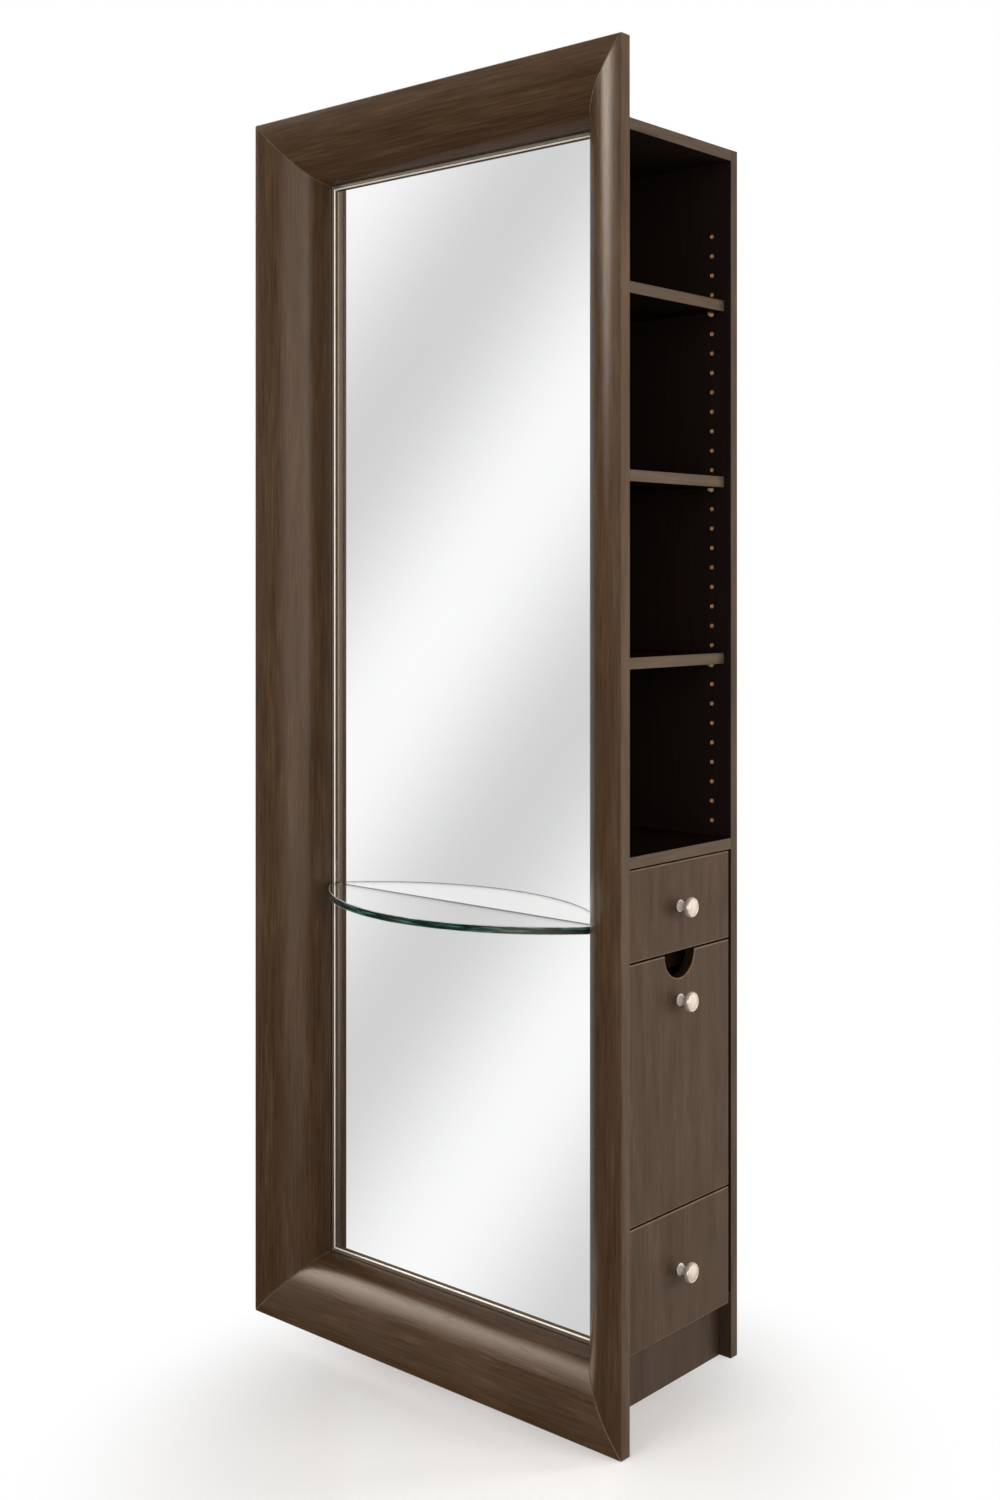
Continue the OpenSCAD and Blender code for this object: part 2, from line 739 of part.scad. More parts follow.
module bottom_drawer_front() { drawer_front(bottom_front, bottom_knob_z); }
module bottom_drawer_sides() { drawer_sides(bottom_box_z, bottom_box_h); }
module bottom_drawer_back() { drawer_back(bottom_box_z, bottom_box_h); }
module bottom_drawer_bottom() { drawer_bottom(bottom_box_z); }
module bottom_drawer_knob() { knob(bottom_knob_z); }
module bottom_drawer_knob_screw() { knob_screw(bottom_knob_z); }
module bottom_drawer_runners() { slide_pair(2, bottom_box_z + bottom_box_h / 2); }
module bottom_slide_middles() { slide_pair(1, bottom_box_z + bottom_box_h / 2); }
module bottom_slide_rails() { slide_pair(0, bottom_box_z + bottom_box_h / 2); }

// Front of the tilting bin, with its half-round notch and the holes for the pivot pins
module bin_front() {
    color(wood_dark) station() difference() {
        board([front_x0, front_y0, bin_span[0]], [front_x1, front_y0 + front_w, bin_span[1]]);
        translate([front_x0 - bore_over, bay_mid, bin_span[1]]) rotate([0, 90, 0])
            cylinder(r = notch_r, h = board_t + 2 * bore_over, $fn = 96);
        knob_hole(bin_knob_z);
        for (y = [front_y0 - bore_over, front_y0 + front_w - pin_in_front]) translate([pivot_x, y, pivot_z])
            rod_y(pivot_d, pin_in_front + bore_over);
    }
}

// The bin's two cheeks stand on the ends of its floor
module bin_cheeks() {
    x0 = pivot_x - corner_reach;
    color(wood_inside) station() for (y = [bin_y0, bin_y0 + bin_w - side_t])
        board([x0 + side_t, y, pivot_z + side_t], [front_x0, y + side_t, pivot_z + bin_box_h]);
}

module bin_back() {
    x0 = pivot_x - corner_reach;
    color(wood_inside) station()
        board([x0, bin_y0, pivot_z], [x0 + side_t, bin_y0 + bin_w, pivot_z + bin_box_h]);
}

module bin_floor() {
    x0 = pivot_x - corner_reach;
    color(wood_inside) station()
        board([x0 + side_t, bin_y0, pivot_z], [front_x0, bin_y0 + bin_w, pivot_z + side_t]);
}

module bin_knob() { knob(bin_knob_z); }
module bin_knob_screw() { knob_screw(bin_knob_z); }

// Steel pins held in the ends of the bin's front
module bin_pivot_pins() {
    end_gap = 1;
    reach = pin_in_front + front_gap + bush_len - end_gap;
    color(steel) station() for (s = [0, 1]) translate([pivot_x, s * 2 * bay_mid, pivot_z]) mirror([0, s, 0])
        translate([0, front_y0 + pin_in_front - reach, 0]) rod_y(pivot_d, reach);
}

// Flanged nylon bushes let into front wall and rear panel
module pivot_bushes() {
    color("white") station() for (s = [0, 1]) translate([pivot_x, s * 2 * bay_mid, pivot_z]) mirror([0, s, 0])
        translate([0, bay_y0, 0]) difference() {
            union() {
                translate([0, -bush_len, 0]) rod_y(pivot_d + 2 * bush_wall, bush_len);
                rod_y(bush_flange_d, bush_flange);
            }
            translate([0, -bush_len - bore_over, 0])
                rod_y(pivot_d + 2 * running_fit, bush_len + bush_flange + 2 * bore_over);
        }
}

// Batten under the divider that the bin's rear corner meets when the bin is fully out
module bin_stop() {
    color(wood_inside) station()
        board([stop_x, bay_y0 + fit, stop_z], [stop_x + board_t, bay_y1 - fit, divider_z]);
}

// Magnetic catch under the divider, and the strike plate behind the bin's front
module bin_catch() {
    x1 = front_x0 - strike_t - air;
    color("#3a3a3a") station() board([x1 - catch_t, catch_y, divider_z - catch_h],
        [x1, catch_y + catch_w, divider_z]);
}

module bin_strike() {
    low_z = divider_z - catch_h + strike_inset;
    color(steel) station() board([front_x0 - strike_t, catch_y + strike_inset, low_z],
        [front_x0, catch_y + catch_w - strike_inset, bin_span[1] - strike_inset]);
}

moulding_left();
moulding_right();
moulding_top();
moulding_bottom();
sight_trim();
mirror_sheet();
glass_shelf();
shelf_channel();
shelf_gasket();
channel_screws();
moulding_screws();
front_wall();
rear_panel();
top_panel();
left_panel();
inner_back();
fixed_deck();
drawer_divider();
bin_deck();
bottom_deck();
toe_kick();
carcass_screws();
pin_sockets();
shelf_pins();
shelf_lower();
shelf_middle();
shelf_upper();
top_drawer_front();
top_drawer_sides();
top_drawer_back();
top_drawer_bottom();
top_drawer_knob();
top_drawer_knob_screw();
top_drawer_runners();
top_slide_middles();
top_slide_rails();
bottom_drawer_front();
bottom_drawer_sides();
bottom_drawer_back();
bottom_drawer_bottom();
bottom_drawer_knob();
bottom_drawer_knob_screw();
bottom_drawer_runners();
bottom_slide_middles();
bottom_slide_rails();
bin_front();
bin_cheeks();
bin_back();
bin_floor();
bin_knob();
bin_knob_screw();
bin_pivot_pins();
pivot_bushes();
bin_stop();
bin_catch();
bin_strike();
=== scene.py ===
"""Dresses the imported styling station: a floor-standing framed mirror with a storage cabinet behind it.

Lengths are metres in the row frame: the front faces -Y, the wall is at +Y and the storage opens to +X.
"""

import logging
import math
from collections.abc import Callable
from dataclasses import dataclass
from enum import Enum, IntEnum

import bpy
import numpy as np
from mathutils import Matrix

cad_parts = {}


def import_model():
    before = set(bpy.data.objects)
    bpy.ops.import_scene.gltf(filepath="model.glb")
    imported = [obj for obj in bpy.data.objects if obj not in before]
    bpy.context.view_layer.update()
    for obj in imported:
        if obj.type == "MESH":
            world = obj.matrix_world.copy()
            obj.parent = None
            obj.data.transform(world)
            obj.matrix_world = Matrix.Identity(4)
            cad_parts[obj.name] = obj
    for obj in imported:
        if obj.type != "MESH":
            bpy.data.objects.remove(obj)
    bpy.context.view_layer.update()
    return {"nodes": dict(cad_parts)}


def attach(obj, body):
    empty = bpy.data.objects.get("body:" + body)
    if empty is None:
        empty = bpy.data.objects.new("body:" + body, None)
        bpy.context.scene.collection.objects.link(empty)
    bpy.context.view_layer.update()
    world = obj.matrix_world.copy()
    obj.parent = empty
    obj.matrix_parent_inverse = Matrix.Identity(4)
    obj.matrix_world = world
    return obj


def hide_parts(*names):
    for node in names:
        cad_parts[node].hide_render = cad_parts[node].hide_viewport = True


LOG = logging.getLogger("station")

MM = 0.001
FRONT_Y = -0.172  # the frame's front plane
HALF_W = 0.400
HEIGHT = 2.060
SIDE_X = 0.328  # open side of the cabinet
BACK_Y = 0.233  # the wall's face
BAY_LO = (-0.072, -0.063, 0.109)  # inside corners of the storage bay
BAY_HI = (SIDE_X, 0.215, 1.954)
BAY_SHADE_REACH = 0.0006  # how far the bay's painted shade, its near-black lining, reaches past those corners
BAY_SHADE_STOP = 0.0002  # how far before the open side that painted shade ends
MITRE_GAP = 0.0001  # from a strip's cut end to the mitre's plane
MITRE_SHRINK = 0.7  # by how much of its chamfer a cut end is smaller

Pair = tuple[float, float]
Triple = tuple[float, float, float]
Colour = Triple
Outline = Callable[[float], np.ndarray]
Socket = bpy.types.NodeSocket
Value = Socket | float | tuple[float, ...]

UP: Triple = (0.0, 0.0, 1.0)
WHITE: Colour = (1.0, 1.0, 1.0)


def srgb(red: int, green: int, blue: int) -> Colour:
    """Returns the linear colour of an 8-bit display colour."""
    channels = []
    for value in (red, green, blue):
        share = value / 255
        channels.append(share / 12.92 if share <= 0.04045 else ((share + 0.055) / 1.055) ** 2.4)
    return channels[0], channels[1], channels[2]


class Grain(Enum):
    """Direction of a wood's grain."""

    UPRIGHT = (1.0, 1.0, 0.0)
    ACROSS = (0.0, 1.0, 1.0)
    DEEP = (1.0, 0.0, 1.0)

    def stretch(self, across: float, along: float) -> Triple:
        """Scales of a pattern that runs along the grain.

        Args:
            across: cycles per metre across the grain.
            along: cycles per metre along the grain.

        Returns:
            One scale per axis.
        """
        sx, sy, sz = (across if share else along for share in self.value)
        return sx, sy, sz


class Slot(Enum):
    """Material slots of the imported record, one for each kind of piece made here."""

    VENEER = "veneer"
    SHELF = "shelf_board"
    GLASS = "clear_glass"
    TRIM = "polished_trim"
    NICKEL = "nickel"


class Body(Enum):
    """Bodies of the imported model."""

    STATION = "station"
    TOP_DRAWER = "top_drawer"
    BOTTOM_DRAWER = "bottom_drawer"
    TOOL_BIN = "tool_bin"
    LOWER_SHELF = "lower_shelf"
    MIDDLE_SHELF = "middle_shelf"
    UPPER_SHELF = "upper_shelf"


class NodeGraph:
    """A node tree, with short calls for what both materials and the world need."""

    def __init__(self, tree: bpy.types.NodeTree) -> None:
        """Takes over a tree and empties it."""
        self.tree = tree
        tree.nodes.clear()

    def add(self, kind: str) -> bpy.types.Node:
        """Returns a new shader node of a kind."""
        return self.tree.nodes.new(f"ShaderNode{kind}")

    def link(self, source: Socket, target: Socket) -> None:
        """Joins an output to an input."""
        self.tree.links.new(source, target)

    def feed(self, target: Socket, value: Value) -> None:
        """Sets an input to a plain value, or joins it to an output."""
        if isinstance(value, Socket):
            self.link(value, target)
        else:
            target.default_value = value

    def math(self, operation: str, first: Value, second: Value = 0.0, third: Value = 0.0) -> Socket:
        """Returns the result of a math node."""
        node = self.add("Math")
        node.operation = operation
        for socket, value in zip(node.inputs, (first, second, third)):
            self.feed(socket, value)
        return node.outputs[0]

    def measure(self, operation: str, vector: Socket, other: Triple = (0.0, 0.0, 0.0)) -> Socket:
        """Returns the number that a vector math node makes of one or two vectors."""
        node = self.add("VectorMath")
        node.operation = operation
        self.link(vector, node.inputs[0])
        node.inputs[1].default_value = other
        return node.outputs["Value"]

    def spread(
        self, value: Socket, low: float, high: float, to_low: float = 0.0, to_high: float = 1.0
    ) -> Socket:
        """Returns value carried smoothly from the range low..high to to_low..to_high."""
        node = self.add("MapRange")
        node.interpolation_type = "SMOOTHSTEP"
        self.link(value, node.inputs["Value"])
        names = ("From Min", "From Max", "To Min", "To Max")
        for name, number in zip(names, (low, high, to_low, to_high)):
            node.inputs[name].default_value = number
        return node.outputs["Result"]

    def choose(self, factor: Socket, first: Socket, second: Socket) -> Socket:
        """Returns a mix of two shaders."""
        node = self.add("MixShader")
        for socket, value in zip(node.inputs, (factor, first, second)):
            self.link(value, socket)
        return node.outputs[0]

    def seen(self) -> Socket:
        """Returns 1 where the camera looks, straight or through glass, and 0 elsewhere."""
        path = self.add("LightPath").outputs
        return self.math("MAXIMUM", path["Is Camera Ray"], path["Is Transmission Ray"])


class NodeSheet(NodeGraph):
    """The node tree of one material, with the patterns that the finishes are made of."""

    def __init__(self, name: str) -> None:
        """Makes an empty material with its output node."""
        self.material = bpy.data.materials.new(name)
        self.material.use_nodes = True
        super().__init__(self.material.node_tree)
        self.output = self.add("OutputMaterial")
        self.position = self.add("TexCoord").outputs["Object"]

    def scaled(self, scale: Triple, shift: Triple = (0.0, 0.0, 0.0)) -> Socket:
        """Returns object coordinates times scale, moved by shift."""
        node = self.add("Mapping")
        self.link(self.position, node.inputs["Vector"])
        node.inputs["Scale"].default_value = scale
        node.inputs["Location"].default_value = shift
        return node.outputs["Vector"]

    def noise(
        self,
        scale: Triple,
        detail: float = 2.0,
        roughness: float = 0.5,
        distortion: float = 0.0,
        shift: Triple = (0.0, 0.0, 0.0),
    ) -> Socket:
        """Returns smooth noise from 0 to 1, with a scale in cycles per metre along each axis."""
        node = self.add("TexNoise")
        self.link(self.scaled(scale, shift), node.inputs["Vector"])
        names = ("Scale", "Detail", "Roughness", "Distortion")
        for name, number in zip(names, (1.0, detail, roughness, distortion)):
            node.inputs[name].default_value = number
        return node.outputs["Fac"]

    def blend(self, factor: Value, first: Value, second: Value) -> Socket:
        """Returns a mix of two colours."""
        node = self.add("Mix")
        node.data_type = "RGBA"
        self.feed(node.inputs["Factor"], factor)
        for socket, value in zip((node.inputs[6], node.inputs[7]), (first, second)):
            self.feed(socket, (*value, 1.0) if isinstance(value, tuple) else value)
        return node.outputs[2]

    def axis(self, name: str) -> Socket:
        """Returns one coordinate of the surface's place."""
        node = self.add("SeparateXYZ")
        self.link(self.position, node.inputs[0])
        return node.outputs[name]

    def bump(self, height: Socket, strength: float, distance: float) -> Socket:
        """Returns a normal bent by a height pattern."""
        node = self.add("Bump")
        node.inputs["Strength"].default_value = strength
        node.inputs["Distance"].default_value = distance
        self.link(height, node.inputs["Height"])
        return node.outputs["Normal"]

    def principled(self, **inputs: Value) -> bpy.types.Node:
        """Adds the surface shader with its inputs named by words joined with underscores."""
        node = self.add("BsdfPrincipled")
        for name, value in inputs.items():
            if isinstance(value, tuple):
                value = (*value, 1.0)
            self.feed(node.inputs[name.replace("_", " ")], value)
        self.link(node.outputs["BSDF"], self.output.inputs["Surface"])
        return node


@dataclass(frozen=True)
class Finish:
    """A finish that makes one material."""

    name: str

    def make(self) -> bpy.types.Material:
        """Returns the finish's material, made once."""
        found = bpy.data.materials.get(self.name)
        if found is not None:
            return found
        sheet = NodeSheet(self.name)
        self.paint(sheet)
        return sheet.material

    def paint(self, sheet: NodeSheet) -> None:
        """Fills the node tree."""
        raise NotImplementedError


@dataclass(frozen=True)
class Veneer(Finish):
    """Stained wood veneer under satin lacquer, with long figure, fine streaks and short pores.

    The scales are cycles per metre, where there are two of them across and along the grain. A range gives
    the strengths of its pattern between which the pattern sets in.
    """

    grain: Grain = Grain.UPRIGHT
    dark: Colour = srgb(60, 43, 29)
    middle: Colour = srgb(74, 55, 38)
    light: Colour = srgb(88, 68, 50)
    shift: float = 0.0
    roughness: float = 0.36
    shaded_inside: bool = False  # whether the part inside the storage bay turns to near-black laminate, painted shade
    figure_scale: Pair = (42.0, 5.0)
    streak_scale: Pair = (330.0, 11.0)
    fibre_scale: Pair = (1100.0, 24.0)
    cloud_scale: Triple = (13.0, 13.0, 8.0)
    cloud_tint: Triple = (0.92, 1.02, 1.12)
    middle_range: Pair = (0.36, 0.52)
    light_range: Pair = (0.50, 0.66)
    pore_range: Pair = (0.60, 0.72)
    cloud_range: Pair = (0.45, 0.68)
    lining_roughness: float = 0.35  # how much rougher the laminate is

    def paint(self, sheet: NodeSheet) -> None:
        """Mixes three stains by figure and streaks, and presses pores into the surface."""
        shift = (self.shift, self.shift * 1.7, self.shift * 0.6)
        figure = sheet.noise(self.grain.stretch(*self.figure_scale), 3.0, 0.6, 0.4, shift)
        streaks = sheet.noise(self.grain.stretch(*self.streak_scale), 3.0, 0.65, 0.2, shift)
        fibres = sheet.noise(self.grain.stretch(*self.fibre_scale), shift=shift)
        clouds = sheet.noise(self.cloud_scale, shift=shift)
        tone = sheet.math("ADD", sheet.math("MULTIPLY", figure, 0.45), sheet.math("MULTIPLY", streaks, 0.55))
        colour = sheet.blend(sheet.spread(tone, *self.middle_range), self.dark, self.middle)
        colour = sheet.blend(sheet.spread(tone, *self.light_range), colour, self.light)
        pores = sheet.spread(fibres, *self.pore_range)
        colour = sheet.blend(sheet.math("MULTIPLY", pores, 0.35), colour, self.dark)
        cool = tuple(channel * tint for channel, tint in zip(self.middle, self.cloud_tint))
        colour = sheet.blend(sheet.spread(clouds, *self.cloud_range, 0.0, 0.45), colour, cool)
        roughness = sheet.spread(streaks, 0.3, 0.7, self.roughness - 0.03, self.roughness + 0.05)
        # painted shade: inside the storage bay the veneer turns into near-black laminate
        if self.shaded_inside:
            bay_shade = self.bay_shade_mask(sheet)
            colour = sheet.blend(bay_shade, colour, ShadeLaminate.stain(sheet, self.grain))
            roughness = sheet.math("ADD", roughness, sheet.math("MULTIPLY", bay_shade, self.lining_roughness))
        relief = sheet.math("SUBTRACT", sheet.math("MULTIPLY", streaks, 0.4), pores)
        sheet.principled(
            Base_Color=colour,
            Roughness=roughness,
            Specular_IOR_Level=0.4,
            Normal=sheet.bump(relief, 0.22, 0.0002),
        )

    def bay_shade_mask(self, sheet: NodeSheet) -> Socket:
        """Returns 1 on surfaces that line the storage bay, which take its painted shade, and 0 elsewhere."""
        mask = 1.0
        for name, low, high in zip("XYZ", BAY_LO, BAY_HI):
            place = sheet.axis(name)
            end = high - BAY_SHADE_STOP if name == "X" else high + BAY_SHADE_REACH
            above = sheet.math("GREATER_THAN", place, low - BAY_SHADE_REACH)
            inside = sheet.math("MULTIPLY", above, sheet.math("LESS_THAN", place, end))
            mask = sheet.math("MULTIPLY", inside, mask)
        return mask


@dataclass(frozen=True)
class ShadeLaminate(Finish):
    """Near-black wood laminate of the inside boards, with a faint grain; the near-black is painted shade for
    the dark inside.
    """

    grain: Grain = Grain.UPRIGHT

    @staticmethod
    def stain(sheet: NodeSheet, grain: Grain) -> Socket:
        """Returns the laminate's near-black colour, painted shade, for a grain direction."""
        fine = sheet.noise(grain.stretch(260.0, 6.0), 3.0, 0.6)
        return sheet.blend(sheet.spread(fine, 0.35, 0.68), srgb(18, 10, 6), srgb(33, 20, 13))

    def paint(self, sheet: NodeSheet) -> None:
        """Lays a faint two-tone grain under a matt face."""
        fine = sheet.noise(self.grain.stretch(700.0, 14.0))
        sheet.principled(
            Base_Color=self.stain(sheet, self.grain),
            Roughness=sheet.spread(fine, 0.3, 0.7, 0.5, 0.62),
            Specular_IOR_Level=0.1,
            Normal=sheet.bump(fine, 0.15, 0.0001),
        )


@dataclass(frozen=True)
class Polished(Finish):
    """Plated or polished metal with faint polishing marks."""

    colour: Colour = srgb(232, 231, 228)
    roughness: float = 0.08
    marks: Triple = (420.0, 420.0, 420.0)  # cycles per metre
    wear: float = 0.03
    metallic: float = 1.0

    def paint(self, sheet: NodeSheet) -> None:
        """Varies roughness and tone with fine marks and soft patches."""
        marks = sheet.noise(self.marks, 3.0, 0.6)
        patches = sheet.noise((35.0, 35.0, 35.0))
        shade = (self.colour[0] * 0.88, self.colour[1] * 0.87, self.colour[2] * 0.85)
        amount = sheet.spread(patches, 0.35, 0.7, 0.0, 0.6)
        sheet.principled(
            Base_Color=sheet.blend(amount, self.colour, shade),
            Metallic=self.metallic,
            Roughness=sheet.spread(marks, 0.3, 0.7, self.roughness, self.roughness + self.wear),
            Normal=sheet.bump(marks, 0.05, 0.00005),
        )


@dataclass(frozen=True)
class Silvering(Finish):
    """Mirror silver behind clear glass."""

    def paint(self, sheet: NodeSheet) -> None:
        """Reflects almost all light, a little less in faint patches."""
        patches = sheet.noise((2.0, 2.0, 2.0), 1.0, 0.4)
        tone = sheet.blend(sheet.spread(patches, 0.3, 0.7), (0.960, 0.963, 0.968), (0.972, 0.974, 0.976))
        sheet.principled(Base_Color=tone, Metallic=1.0, Roughness=0.0)


@dataclass(frozen=True)
class FloatGlass(Finish):
    """Clear float glass whose long light paths turn green."""

    def paint(self, sheet: NodeSheet) -> None:
        """Bends light through a clear body that soaks up red."""
        haze = sheet.noise((6.0, 6.0, 6.0), 1.0, 0.5)
        sheet.principled(
            Base_Color=(1.0, 0.992, 0.972),
            Roughness=sheet.spread(haze, 0.3, 0.7, 0.0, 0.003),
            IOR=1.52,
            Transmission_Weight=1.0,
        )
        body = sheet.add("VolumeAbsorption")
        body.inputs["Color"].default_value = (0.30, 0.80, 0.66, 1.0)
        body.inputs["Density"].default_value = 1.2
        sheet.link(body.outputs[0], sheet.output.inputs["Volume"])


@dataclass(frozen=True)
class GlassEdge(Finish):
    """Cut edge of float glass, where the light inside has gone deep green."""

    dark: Colour = srgb(14, 34, 30)
    light: Colour = srgb(66, 104, 95)
    roughness: float = 0.07

    def paint(self, sheet: NodeSheet) -> None:
        """Draws faint long lighter streaks, painted highlights along the edge, under a polished face."""
        streaks = sheet.noise((20.0, 20.0, 260.0), 3.0, 0.6)
        fine = sheet.noise((300.0, 300.0, 900.0))
        sheet.principled(
            Base_Color=sheet.blend(sheet.spread(streaks, 0.46, 0.66), self.dark, self.light),
            Roughness=sheet.spread(fine, 0.3, 0.7, self.roughness, self.roughness + 0.05),
            IOR=1.52,
        )


@dataclass(frozen=True)
class Moulded(Finish):
    """Moulded plastic or rubber with a fine texture."""

    colour: Colour = srgb(40, 40, 40)
    roughness: float = 0.5

    def paint(self, sheet: NodeSheet) -> None:
        """Adds a fine pebble and a slight change of tone."""
        pebble = sheet.noise((900.0, 900.0, 900.0))
        tone = sheet.noise((60.0, 60.0, 60.0))
        shade = (self.colour[0] * 0.8, self.colour[1] * 0.8, self.colour[2] * 0.8)
        sheet.principled(
            Base_Color=sheet.blend(sheet.spread(tone, 0.3, 0.7), shade, self.colour),
            Roughness=self.roughness,
            Normal=sheet.bump(pebble, 0.15, 0.0001),
        )


@dataclass(frozen=True)
class PaleFloor(Finish):
    """Pale glossy floor that turns plain white away from the object.

    The pool is the place where it isn't white. Its scale and shift turn a place into a vector, and its edge
    gives the lengths of that vector between which the white sets in.
    """

    pool_scale: Triple = (1.1, 1.0, 0.0)
    pool_shift: Triple = (-0.264, 0.26, 0.0)
    pool_edge: Pair = (0.30, 0.74)
    bounce: Colour = (0.55, 0.55, 0.55)
    glow: float = 0.12

    def paint(self, sheet: NodeSheet) -> None:
        """Mixes a lacquered surface with plain white, and bounces less light than it shows."""
        length = sheet.measure("LENGTH", sheet.scaled(self.pool_scale, self.pool_shift))
        away = sheet.spread(length, *self.pool_edge)
        tone = sheet.noise((0.8, 0.8, 0.8))
        seen = sheet.seen()
        bright = sheet.blend(sheet.spread(tone, 0.3, 0.7), (0.92, 0.925, 0.935), (0.94, 0.945, 0.955))
        surface = sheet.principled(
            Base_Color=sheet.blend(seen, self.bounce, bright),
            Roughness=0.09,
            Specular_IOR_Level=0.5,
            Emission_Color=WHITE,
            Emission_Strength=sheet.math("MULTIPLY", seen, self.glow),
        )
        white = sheet.add("Emission").outputs[0]
        mix = sheet.choose(sheet.math("MULTIPLY", away, seen), surface.outputs[0], white)
        sheet.link(mix, sheet.output.inputs["Surface"])


# edge stains lighter and greyer than the face: partly a painted highlight along the lip's rounding and outer
# side
EDGE_STAINS = (srgb(66, 51, 39), srgb(82, 66, 52), srgb(98, 80, 64))
FRONT_STAINS = (srgb(57, 43, 31), srgb(71, 55, 42), srgb(84, 67, 52))
BOARD_STAINS = (srgb(58, 43, 31), srgb(73, 56, 42), srgb(87, 68, 52))
PLINTH_STAINS = (srgb(50, 38, 29), srgb(64, 50, 39), srgb(76, 60, 48))
BANDING_STAINS = (srgb(55, 43, 33), srgb(70, 57, 45), srgb(84, 70, 56))
LEVEL_BANDING_STAINS = (srgb(64, 52, 41), srgb(81, 68, 55), srgb(97, 82, 68))
# painted highlight: light stains for the thin bright line along the mitres
MITRE_HIGHLIGHT_STAINS = (srgb(100, 83, 68), srgb(124, 106, 90), srgb(142, 124, 107))
# painted highlight: light stains for the fronts' eased arrises
FRONT_ARRIS_HIGHLIGHT_STAINS = (srgb(98, 81, 67), srgb(116, 98, 82), srgb(132, 113, 97))
# painted shade: near-black stains for the fronts' sides, which show in the gaps and the notch
GAP_SHADE_STAINS = (srgb(24, 17, 11), srgb(38, 28, 19), srgb(54, 41, 30))

MOULDING_UPRIGHT = Veneer("veneer_moulding_upright", shift=0.0, roughness=0.21)
MOULDING_ACROSS = Veneer("veneer_moulding_across", Grain.ACROSS, shift=3.1, roughness=0.21)
MOULDING_EDGE = Veneer("veneer_moulding_edge", Grain.UPRIGHT, *EDGE_STAINS, 5.0, 0.4)
FRONT_VENEER = Veneer("veneer_fronts", Grain.UPRIGHT, *FRONT_STAINS, 7.3, 0.4)
# these two boards turn near-black inside the bay as painted shade
BOARD_VENEER = Veneer("veneer_boards", Grain.UPRIGHT, *BOARD_STAINS, 2.2, 0.4, True)
LEVEL_VENEER = Veneer("veneer_level_boards", Grain.ACROSS, *BOARD_STAINS, 4.4, 0.4, True)
PLINTH_VENEER = Veneer("veneer_plinth", Grain.UPRIGHT, *PLINTH_STAINS, 9.1, 0.42)
BANDING_UPRIGHT = Veneer("edge_banding_upright", Grain.UPRIGHT, *BANDING_STAINS, 1.3, 0.42)
BANDING_DEEP = Veneer("edge_banding_level", Grain.DEEP, *LEVEL_BANDING_STAINS, 2.7, 0.42)
MITRE_HIGHLIGHT = Veneer("veneer_mitre_highlight", Grain.DEEP, *MITRE_HIGHLIGHT_STAINS, 0.9, 0.4)
FRONT_ARRIS_HIGHLIGHT = Veneer("veneer_front_arris_highlight", Grain.UPRIGHT, *FRONT_ARRIS_HIGHLIGHT_STAINS, 1.9, 0.38)
GAP_SHADE_EDGE = Veneer("gap_painted_shade", Grain.DEEP, *GAP_SHADE_STAINS, 0.4, 0.45)
# near-black laminates: painted shade for the inside of the cabinet, its drawers and shelves
SHADED_INSIDE_UPRIGHT = ShadeLaminate("shaded_laminate_upright")
SHADED_INSIDE_LEVEL = ShadeLaminate("shaded_laminate_level", Grain.ACROSS)
SILVER = Silvering("mirror_silver")
GLASS = FloatGlass("float_glass")
# the edge's dark green is the glass's own tint; its lighter streaks are painted highlights
GLASS_EDGE = GlassEdge("glass_edge")
# painted highlight: a near-white arris for the thin light outline of the glass's edge
GLASS_ARRIS_HIGHLIGHT = GlassEdge("glass_arris_highlight", srgb(176, 188, 182), srgb(228, 234, 229), 0.3)
TRIM_METAL = Polished("polished_trim_metal", srgb(250, 248, 245), 0.14, metallic=0.3)
TRIM_FLAT = Polished("trim_flat_metal", srgb(212, 204, 193), 0.2, metallic=0.9)
# painted shade: darker metal for the strip's drop, where the dark band beside the mirror is
TRIM_DROP_SHADE = Polished("trim_drop_painted_shade", srgb(122, 112, 98), 0.2, metallic=0.8)
NICKEL = Polished("satin_nickel", srgb(246, 237, 225), 0.2, wear=0.06, metallic=0.5)
# painted light: a brighter, less metallic copy of the nickel for the stem, which sits in the head's shade
NICKEL_STEM_LIT = Polished("satin_nickel_stem_lit", srgb(255, 247, 236), 0.24, wear=0.06, metallic=0.2)
SOCKET_NICKEL = Polished("socket_nickel", srgb(255, 210, 160), 0.25, wear=0.06, metallic=0.3)
CHANNEL_METAL = Polished("mill_aluminium", srgb(205, 206, 208), 0.35, (40.0, 900.0, 900.0), 0.12)
ZINC = Polished("zinc_plate", srgb(190, 192, 196), 0.3, wear=0.15)
# real rubber for the shelf's gasket, and black painted shade in the groove beside the polished strip
RUBBER_AND_GAP_SHADE = Moulded("gasket_rubber_and_gap_shade", srgb(30, 30, 30), 0.7)
NYLON = Moulded("nylon_finish", srgb(38, 35, 33), 0.45)  # a guess, as the photo shows no bush
CATCH = Moulded("catch_plastic_finish", srgb(48, 46, 45), 0.5)


